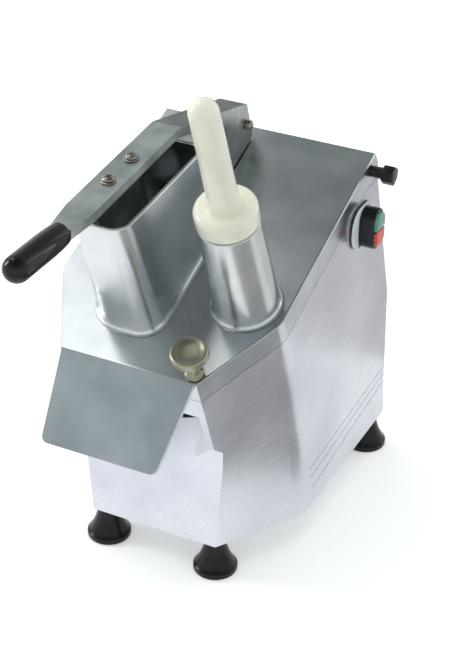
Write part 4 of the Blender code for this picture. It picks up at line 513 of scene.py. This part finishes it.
def latch_handle():
    """The dished knob of the latch: stem, neck, full bowl, rolled rim and a shallow dish on top."""
    low, top, r = LATCH_LOW, LATCH_TOP, LATCH_RADIUS
    profile = [(0, -0.0325), (0.003, -0.0325), (0.003, 0.0006), (0.0082, 0.0006)]
    profile += arc((0.0088 - 0.0008, 0.0034), 0.0008, 0, 70, 3)
    profile += [(0.0068, 0.0066), (0.0066, 0.012), (0.0068, low - 0.005)]
    profile += [(0.0078, low - 0.0032), (0.0100, low - 0.0015), (0.0135, low - 0.0003),
                (r - 0.0012, low + 0.0006)]
    profile += arc((r - 0.0016, low + 0.0022), 0.0016, -30, 10, 4)
    profile += arc((r - 0.0026, top - 0.0026), 0.0026, 0, 110, 9)
    profile += [(r - 0.0052, top - 0.0010), (r - 0.0075, top - 0.0018), (r - 0.0115, top - 0.0022),
                (0, top - 0.0023)]
    place = at(LID, LATCH_X, LATCH_S, 0)
    knob = turned("latch handle", profile, place, 72, 60)
    shape = bmesh.new()
    shape.from_mesh(knob)
    bar = bmesh.new()
    size = Matrix.Diagonal((*LATCH_BAR_SIZE, 1))
    bmesh.ops.create_cube(bar, size=1, matrix=at(place, 0, 0, -LATCH_BAR_DROP) @ size)
    bmesh.ops.bevel(bar, geom=bar.edges[:], offset=0.0004, segments=2, affect="EDGES")
    extra = bpy.data.meshes.new("latch bar")
    bar.to_mesh(extra)
    shape.from_mesh(extra)
    shape.to_mesh(knob)
    show(knob, "latch_handle", nickel, "latch_knob")


def hinge_handle():
    """The hinge knob: a round neck and a six-lobed head with softened ends."""
    place = at(LID, 0, HINGE_S, HINGE_N) @ Matrix.Rotation(pi / 2, 4, "Y")
    start = HINGE_KNOB_X
    head, end = start + HINGE_NECK, start + HINGE_NECK + HINGE_HEAD
    lobes = []
    for k in range(6):
        reach, turn = HINGE_LOBE * (1.0 if k % 2 else 0.88), pi / 3 * k + pi / 6
        lobes.append((reach * cos(turn), reach * sin(turn)))
    outline = rounded(lobes, [0.0022] * 6, 6)
    neck = [p.normalized() * HINGE_NECK_RADIUS for p in outline]
    hole = [p.normalized() * HINGE_HOLE_RADIUS for p in outline]
    rows = [(hole, 1, head), (hole, 1, start), (neck, 0.94, start), (neck, 1, start + 0.0004),
            (neck, 1, head - 0.0004)]
    rows += [(neck, 1.05, head), (outline, 0.93, head), (outline, 0.98, head + 0.0004),
             (outline, 1, head + 0.0012)]
    rows += [(outline, 1, end - 0.0014), (outline, 0.98, end - 0.0005), (outline, 0.92, end),
             (outline, 0.3, end)]
    rings = [[place @ Vector((p.x * size, p.y * size, height)) for p in points]
             for points, size, height in rows]
    show(lofted("hinge handle", rings, angle=50), "hinge_handle", black_abs, "hinge_knob")


def button_ring(z, inset, x):
    """One ring of a push cap: round at its outer end, and nearly square towards the other cap."""
    half, reach = CAP_HALF_WIDTH - inset, CAP_HALF_HEIGHT - inset
    corners = [(SWITCH_Y - half, z - reach), (SWITCH_Y + half, z - reach), (SWITCH_Y + half, z + reach),
               (SWITCH_Y - half, z + reach)]
    outer, inner = CAP_CORNER - inset, max(0.0015 - inset, 0.0004)
    radii = [inner, inner, outer, outer] if z > SWITCH_Z else [outer, outer, inner, inner]
    return [MACHINE @ Vector((x, p.x, p.y)) for p in rounded(corners, radii, 10)]


def push_caps():
    """The two push caps: straight sides, a rolled edge and a face that is crowned a little."""
    low, top = SWITCH_FACE - 0.0042, SWITCH_FACE + CAP_RISE
    for rise, node, finish in ((CAP_OFFSET, "start_button", start_green),
                               (-CAP_OFFSET, "stop_button", stop_red)):
        rows = [(0, low), (0, top - 0.0018), (0.0002, top - 0.0011), (0.0007, top - 0.0006),
                (0.0014, top - 0.00035)]
        rows += [(0.0026, top - 0.00015), (0.0045, top - 0.00005), (0.0070, top)]
        rings = [button_ring(SWITCH_Z + rise, inset, x) for inset, x in rows]
        show(lofted(node + "_cap", rings, angle=50), node + "_cap", finish, node)


def switch_body():
    """The switch housing: a collar with a rolled rim, a well for each cap and the body behind the wall."""
    back, face = SWITCH_FACE - SWITCH_DEPTH, SWITCH_FACE

    def outline(inset, x):
        """One ring of the housing, set in from its widest."""
        half, reach, r = SWITCH_HALF_WIDTH - inset, SWITCH_HALF_HEIGHT - inset, SWITCH_CORNER - inset
        corners = [(SWITCH_Y - half, SWITCH_Z - reach), (SWITCH_Y + half, SWITCH_Z - reach),
                   (SWITCH_Y + half, SWITCH_Z + reach), (SWITCH_Y - half, SWITCH_Z + reach)]
        return [MACHINE @ Vector((x, p.x, p.y)) for p in rounded(corners, [r] * 4, 12)]

    rows = [(0.0004, back), (0, back + 0.0004), (0, face - 0.0012), (0.0002, face - 0.0005)]
    rows += [(0.0006, face - 0.0001), (0.0011, face)]
    collar = piece_of(lofted("switch collar", [outline(i, x) for i, x in rows], angle=50), "switch_collar")
    for z in (SWITCH_Z + CAP_OFFSET, SWITCH_Z - CAP_OFFSET):
        rings = [button_ring(z, -GAP, face - 0.008), button_ring(z, -GAP, face + 0.01)]
        well = piece_of(lofted("well", rings), "well")
        hole = collar.modifiers.new("well", "BOOLEAN")
        hole.operation, hole.solver, hole.object = "DIFFERENCE", "EXACT", well
        plain(collar)
        bpy.data.objects.remove(well)
    shape = bmesh.new()
    shape.from_mesh(collar.data)
    bmesh.ops.remove_doubles(shape, verts=shape.verts, dist=MERGE)
    tail = bmesh.new()
    place = at(MACHINE, back - SWITCH_TAIL_BACK, SWITCH_Y, SWITCH_Z - SWITCH_TAIL_DROP)
    bmesh.ops.create_cube(tail, size=1, matrix=place @ Matrix.Diagonal((*SWITCH_TAIL_SIZE, 1)))
    bmesh.ops.bevel(tail, geom=tail.edges[:], offset=0.0005, segments=2, affect="EDGES")
    extra = bpy.data.meshes.new("switch tail")
    tail.to_mesh(extra)
    shape.from_mesh(extra)
    smooth(shape, 35)
    shape.to_mesh(collar.data)
    show(collar, "switch_body", black_abs, "switch_housing")


hand_pusher()
lever_handle()
latch_handle()
hinge_handle()
push_caps()
switch_body()


# What repeats: feet, and the lever's screws with their washers

def repeated(master, places, finish, tilt, turn, name, *nodes):
    """Sets copies of a master piece on points by Geometry Nodes and keeps the result as one plain mesh."""
    tree = bpy.data.node_groups.new(name, "GeometryNodeTree")
    face = tree.interface
    face.new_socket("Points", in_out="INPUT", socket_type="NodeSocketGeometry")
    kinds = {"Piece": "Object", "Tilt": "Float", "Turn spread": "Float", "Seed": "Int", "Finish": "Material"}
    for label, kind in kinds.items():
        face.new_socket(label, in_out="INPUT", socket_type="NodeSocket" + kind)
    face.new_socket("Set pieces", in_out="OUTPUT", socket_type="NodeSocketGeometry")
    given = add(tree, "NodeGroupInput")
    piece = add(tree, "GeometryNodeObjectInfo", links={"Object": given.outputs["Piece"]})
    spread = add(tree, "FunctionNodeRandomValue", {"data_type": "FLOAT"},
                 links={"Seed": given.outputs["Seed"]})
    turned_by = add(tree, "ShaderNodeMath", {"operation": "MULTIPLY"},
                    links={0: spread.outputs[1], 1: given.outputs["Turn spread"]})
    lean = add(tree, "ShaderNodeCombineXYZ", links={"X": given.outputs["Tilt"]})
    spin = add(tree, "ShaderNodeCombineXYZ", links={"Z": turned_by.outputs[0]})
    copies = add(tree, "GeometryNodeInstanceOnPoints",
                 links={"Points": given.outputs["Points"], "Instance": piece.outputs["Geometry"],
                        "Rotation": lean.outputs[0]})
    spun = add(tree, "GeometryNodeRotateInstances",
               links={"Instances": copies.outputs[0], "Rotation": spin.outputs[0]})
    real = add(tree, "GeometryNodeRealizeInstances", links={"Geometry": spun.outputs[0]})
    done = add(tree, "GeometryNodeSetMaterial",
               links={"Geometry": real.outputs[0], "Material": given.outputs["Finish"]})
    add(tree, "NodeGroupOutput", links={0: done.outputs[0]})
    host_mesh = bpy.data.meshes.new(name)
    host_mesh.from_pydata([tuple(p) for p in places], [], [])
    host = piece_of(host_mesh, name)
    modifier = host.modifiers.new("set", "NODES")
    modifier.node_group = tree
    keys = {item.name: item.identifier for item in tree.interface.items_tree if item.in_out == "INPUT"}
    modifier[keys["Piece"]] = master
    modifier[keys["Tilt"]] = tilt
    modifier[keys["Turn spread"]] = turn
    modifier[keys["Seed"]] = SEED
    modifier[keys["Finish"]] = finish
    plain(host)
    bpy.data.objects.remove(master)
    show(host, name, finish, *nodes)


def foot_master():
    """One turned foot: a pad with a rolled rim, a flank that curves inwards, and its stud."""
    profile = [(0, 0), (FOOT_RADIUS - 0.0022, 0)] + arc((FOOT_RADIUS - 0.0018, 0.0018), 0.0018, -70, 0, 5)
    profile += arc((FOOT_RADIUS - 0.0016, 0.0052), 0.0016, 0, 60, 4)
    start, steps = FOOT_RADIUS - 0.0014, 16
    for k in range(1, steps + 1):
        share = k / steps
        inwards = (start - FOOT_NECK_RADIUS) * (1 - (1 - share) ** 1.9)
        profile.append((start - inwards, 0.0068 + (FOOT_TOP - 0.0078) * share))
    profile += [(FOOT_NECK_RADIUS - 0.0004, FOOT_TOP - 0.0003), (FOOT_NECK_RADIUS - 0.0010, FOOT_TOP)]
    profile += [(0.004, FOOT_TOP), (0.004, 0.0515), (0.0036, 0.052), (0, 0.052)]
    return piece_of(turned("foot", profile, Matrix.Identity(4), 64, 45), "foot_master")


def screw_master():
    """One lever screw: a raised round head with a cross recess, over its washer."""
    low, high, r = 0.0016, 0.0048, 0.0055
    head = [(0, -0.017), (0.0025, -0.017), (0.0025, low), (r - 0.0003, low), (r, low + 0.0003),
            (r, low + 0.0010)]
    head += [(r * cos(radians(t)), low + 0.0010 + (high - low - 0.0010) * sin(radians(t)))
             for t in (12, 25, 38, 50, 62, 75)]
    screw = piece_of(turned("lever screw", head + [(0, high)], Matrix.Identity(4), 48, 50), "screw_master")
    for size in ((0.0032, 0.00055), (0.00055, 0.0032)):
        shape = bmesh.new()
        place = Matrix.Translation((0, 0, 0.0067)) @ Matrix.Diagonal((*size, 0.0035, 1))
        bmesh.ops.create_cube(shape, size=2, matrix=place)
        mesh = bpy.data.meshes.new("recess")
        shape.to_mesh(mesh)
        tool = piece_of(mesh, "recess")
        recess = screw.modifiers.new("recess", "BOOLEAN")
        recess.operation, recess.solver, recess.object = "DIFFERENCE", "EXACT", tool
        plain(screw)
        bpy.data.objects.remove(tool)
    profile = [(0.0028, 0.0003), (0.0070, 0.0003), (0.0072, 0.0005), (0.0072, 0.0011), (0.0070, 0.0013)]
    washer = turned("washer", profile + [(0.0028, 0.0013)], Matrix.Identity(4), 48, 50)
    shape = bmesh.new()
    shape.from_mesh(screw.data)
    shape.from_mesh(washer)
    shape.to_mesh(screw.data)
    return screw


repeated(foot_master(), [MACHINE @ Vector(p) for p in FOOT_PLACES], foot_rubber, 0.0, 0.0, "feet",
         "foot_front_right", "foot_front_left", "foot_rear_right", "foot_rear_left")
bar_slope = atan2(LEVER_KNEE_Z - LEVER_FRONT_Z, LEVER_KNEE_Y - LEVER_FRONT_Y)
screw_places = [MACHINE @ Vector((LEVER_X, y, LEVER_FRONT_Z + (y - LEVER_FRONT_Y) * tan(bar_slope)))
                for y in SCREWS_Y]
repeated(screw_master(), screw_places, fastener, bar_slope, 1.2, "lever_screws",
         "lever_screw_front", "lever_screw_rear", "lever_washer_front", "lever_washer_rear")


# Studio

def camera():
    """Sets the photograph's view."""
    a, e, roll = CAMERA_AZIMUTH, CAMERA_ELEVATION, CAMERA_ROLL
    back = Vector((sin(a) * cos(e), -cos(a) * cos(e), sin(e)))
    right = Vector((cos(a), sin(a), 0))
    up = back.cross(right)
    right, up = cos(roll) * right + sin(roll) * up, -sin(roll) * right + cos(roll) * up
    data = bpy.data.cameras.new("camera")
    data.lens, data.sensor_width, data.sensor_fit = CAMERA_LENS, 36, "AUTO"
    data.clip_start, data.clip_end = 0.05, 50
    eye = bpy.data.objects.new("camera", data)
    bpy.context.scene.collection.objects.link(eye)
    eye.matrix_world = Matrix.Translation(CAMERA_PLACE) @ Matrix((right, up, back)).transposed().to_4x4()
    bpy.context.scene.camera = eye


def lamp(name, place, aim, width, height, power, shine):
    """A soft box. One that shines also shows in polished metal, as a studio's own do."""
    data = bpy.data.lights.new(name, "AREA")
    data.shape, data.size, data.size_y, data.energy = "RECTANGLE", width, height, power
    thing = bpy.data.objects.new(name, data)
    bpy.context.scene.collection.objects.link(thing)
    way = Vector(aim) - Vector(place)
    thing.matrix_world = Matrix.Translation(place) @ way.to_track_quat("-Z", "Y").to_matrix().to_4x4()
    thing.visible_glossy, thing.visible_camera = shine, False


def flag(name, place, facing, width, height, level):
    """A grey card that only polished metal sees, as photographers set to give bright metal its dark edges."""
    shape = bmesh.new()
    turn = Vector(facing).to_track_quat("Z", "Y").to_matrix().to_4x4()
    where = Matrix.Translation(place) @ turn @ Matrix.Diagonal((width, height, 1, 1))
    bmesh.ops.create_grid(shape, x_segments=1, y_segments=1, size=0.5, matrix=where)
    mesh = bpy.data.meshes.new(name)
    shape.to_mesh(mesh)
    card = piece_of(mesh, name.replace(" ", "_"))
    cloth, tree, shader, coordinates = started(name + " cloth")
    nap = add(tree, "ShaderNodeTexNoise", values={"Scale": per_mm(200), "Detail": 2},
              links={"Vector": coordinates})
    tone = add(tree, "ShaderNodeMapRange", values={"To Min": level * 0.85, "To Max": level * 1.15},
               links={"Value": nap.outputs["Fac"]})
    glow = add(tree, "ShaderNodeEmission", links={"Strength": tone.outputs[0]})
    tree.links.new(glow.outputs[0], end_of(tree).inputs["Surface"])
    tree.nodes.remove(shader)
    mesh.materials.append(cloth)
    card.visible_camera = card.visible_diffuse = card.visible_shadow = card.visible_transmission = False


def ground():
    """A round pale floor. The camera sees it near white, its glow fading the machine's shadow, and metal sees
    a painted glow close to the machine that fills that shadow in reflections.
    """
    shape = bmesh.new()
    bmesh.ops.create_circle(shape, cap_ends=True, segments=64, radius=FLOOR_RADIUS)
    mesh = bpy.data.meshes.new("floor")
    shape.to_mesh(mesh)
    floor = piece_of(mesh, "floor")
    paint, tree, shader, place = started("pale studio floor")
    grain = add(tree, "ShaderNodeTexNoise", values={"Scale": per_mm(400), "Detail": 2},
                links={"Vector": place})
    tone = add(tree, "ShaderNodeValToRGB", links={"Fac": grain.outputs["Fac"]})
    between(tone, "#F4F4F4", 0, "#F7F7F7", 1)
    tree.links.new(tone.outputs["Color"], shader.inputs["Base Color"])
    shader.inputs["Roughness"].default_value = 0.9
    shader.inputs["Specular IOR Level"].default_value = 0.1
    # The camera's share of glow grows outwards to hide the floor's edge and also lightens the machine's
    # shadow; metal's share is painted light that fills the machine's shadow near it, and fades outwards.
    seen = add(tree, "ShaderNodeLightPath")
    reach = add(tree, "ShaderNodeVectorMath", {"operation": "LENGTH"}, links={0: place})
    lift = add(tree, "ShaderNodeMapRange",
               values={"From Min": 0.5, "From Max": 1.6, "To Min": 0.34, "To Max": 0.6},
               links={"Value": reach.outputs["Value"]})
    shown = add(tree, "ShaderNodeMath", {"operation": "MULTIPLY"},
                links={0: lift.outputs[0], 1: seen.outputs["Is Camera Ray"]})
    # Painted light: near the machine the floor glows for glossy rays, so its shadow does not show in the
    # metal's reflections.
    near = add(tree, "ShaderNodeMapRange",
               values={"From Min": 0.15, "From Max": 0.60, "To Min": 0.34, "To Max": 0.0},
               links={"Value": reach.outputs["Value"]})
    mirrored_shadow_fill = add(tree, "ShaderNodeMath", {"operation": "MULTIPLY"},
                   links={0: near.outputs[0], 1: seen.outputs["Is Glossy Ray"]})
    share = add(tree, "ShaderNodeMath", {"operation": "ADD"},
                links={0: shown.outputs[0], 1: mirrored_shadow_fill.outputs[0]})
    glow = add(tree, "ShaderNodeEmission", values={"Color": (1, 1, 1, 1)},
               links={"Strength": share.outputs[0]})
    both = add(tree, "ShaderNodeAddShader", links={0: shader.outputs[0], 1: glow.outputs[0]})
    tree.links.new(both.outputs[0], end_of(tree).inputs["Surface"])
    floor.data.materials.append(paint)


def surround():
    """A pale surround that darkens towards the ceiling, and is white where the camera looks."""
    world = bpy.data.worlds.new("studio")
    bpy.context.scene.world = world
    world.use_nodes = True
    tree = world.node_tree
    tree.nodes.clear()
    way = add(tree, "ShaderNodeTexCoord")
    height = add(tree, "ShaderNodeSeparateXYZ", links={0: way.outputs["Generated"]})
    level = add(tree, "ShaderNodeValToRGB", links={"Fac": height.outputs["Z"]})
    ramp = level.color_ramp
    ramp.interpolation = "EASE"
    # Positions are the sine of the angle above the horizon.
    ramp.elements[0].position, ramp.elements[0].color = 0.22, (0.92, 0.93, 0.94, 1)
    ramp.elements[1].position, ramp.elements[1].color = 0.90, (0.19, 0.205, 0.205, 1)
    middle = ramp.elements.new(0.68)
    middle.color = (0.40, 0.46, 0.48, 1)
    seen = add(tree, "ShaderNodeLightPath")
    # Inputs 6 and 7 and output 2 of this node are its colours.
    mixed = add(tree, "ShaderNodeMix", {"data_type": "RGBA"}, {7: (1, 1, 1, 1)},
                {0: seen.outputs["Is Camera Ray"], 6: level.outputs["Color"]})
    glow = add(tree, "ShaderNodeBackground", values={"Strength": 1}, links={"Color": mixed.outputs[2]})
    add(tree, "ShaderNodeOutputWorld", links={"Surface": glow.outputs[0]})


def studio():
    """The whole setting: floor, cards for the dark reflections, surround, and the soft boxes."""
    ground()
    # Each card: name, place, the way it faces, width, height and brightness.
    flag("flag right", (0.47, -0.10, 0.002), (0, 0, 1), 0.50, 0.46, 0.38)
    flag("flag right rear", (0.45, 0.68, 0.002), (0, 0, 1), 0.60, 0.60, 0.66)
    flag("flag behind", (-0.7, 2.0, 0.55), (0, -1, 0), 1.9, 1.1, 0.22)
    surround()
    # Each soft box: name, place, aim, width, height, power in watts, and whether metal mirrors it.
    lamp("top", (0, 0, 2.4), (0, 0, 0), 3.0, 3.0, 34, False)
    lamp("key", (-1.9, -0.5, 1.2), (0, 0, 0.25), 0.5, 1.0, 14, True)
    lamp("ceiling left", (-2.0, 0.5, 2.4), (-1.2, 0.5, 0), 1.2, 1.6, 6, True)
    lamp("ceiling front", (-0.95, -0.05, 2.4), (-0.5, 0, 0), 1.0, 0.5, 2.7, True)
    lamp("streak", (1.45, 1.70, 0.85), (0, 0, 0.4), 0.4, 1.2, 2, True)


camera()
studio()
bpy.context.scene.view_settings.view_transform = "Standard"
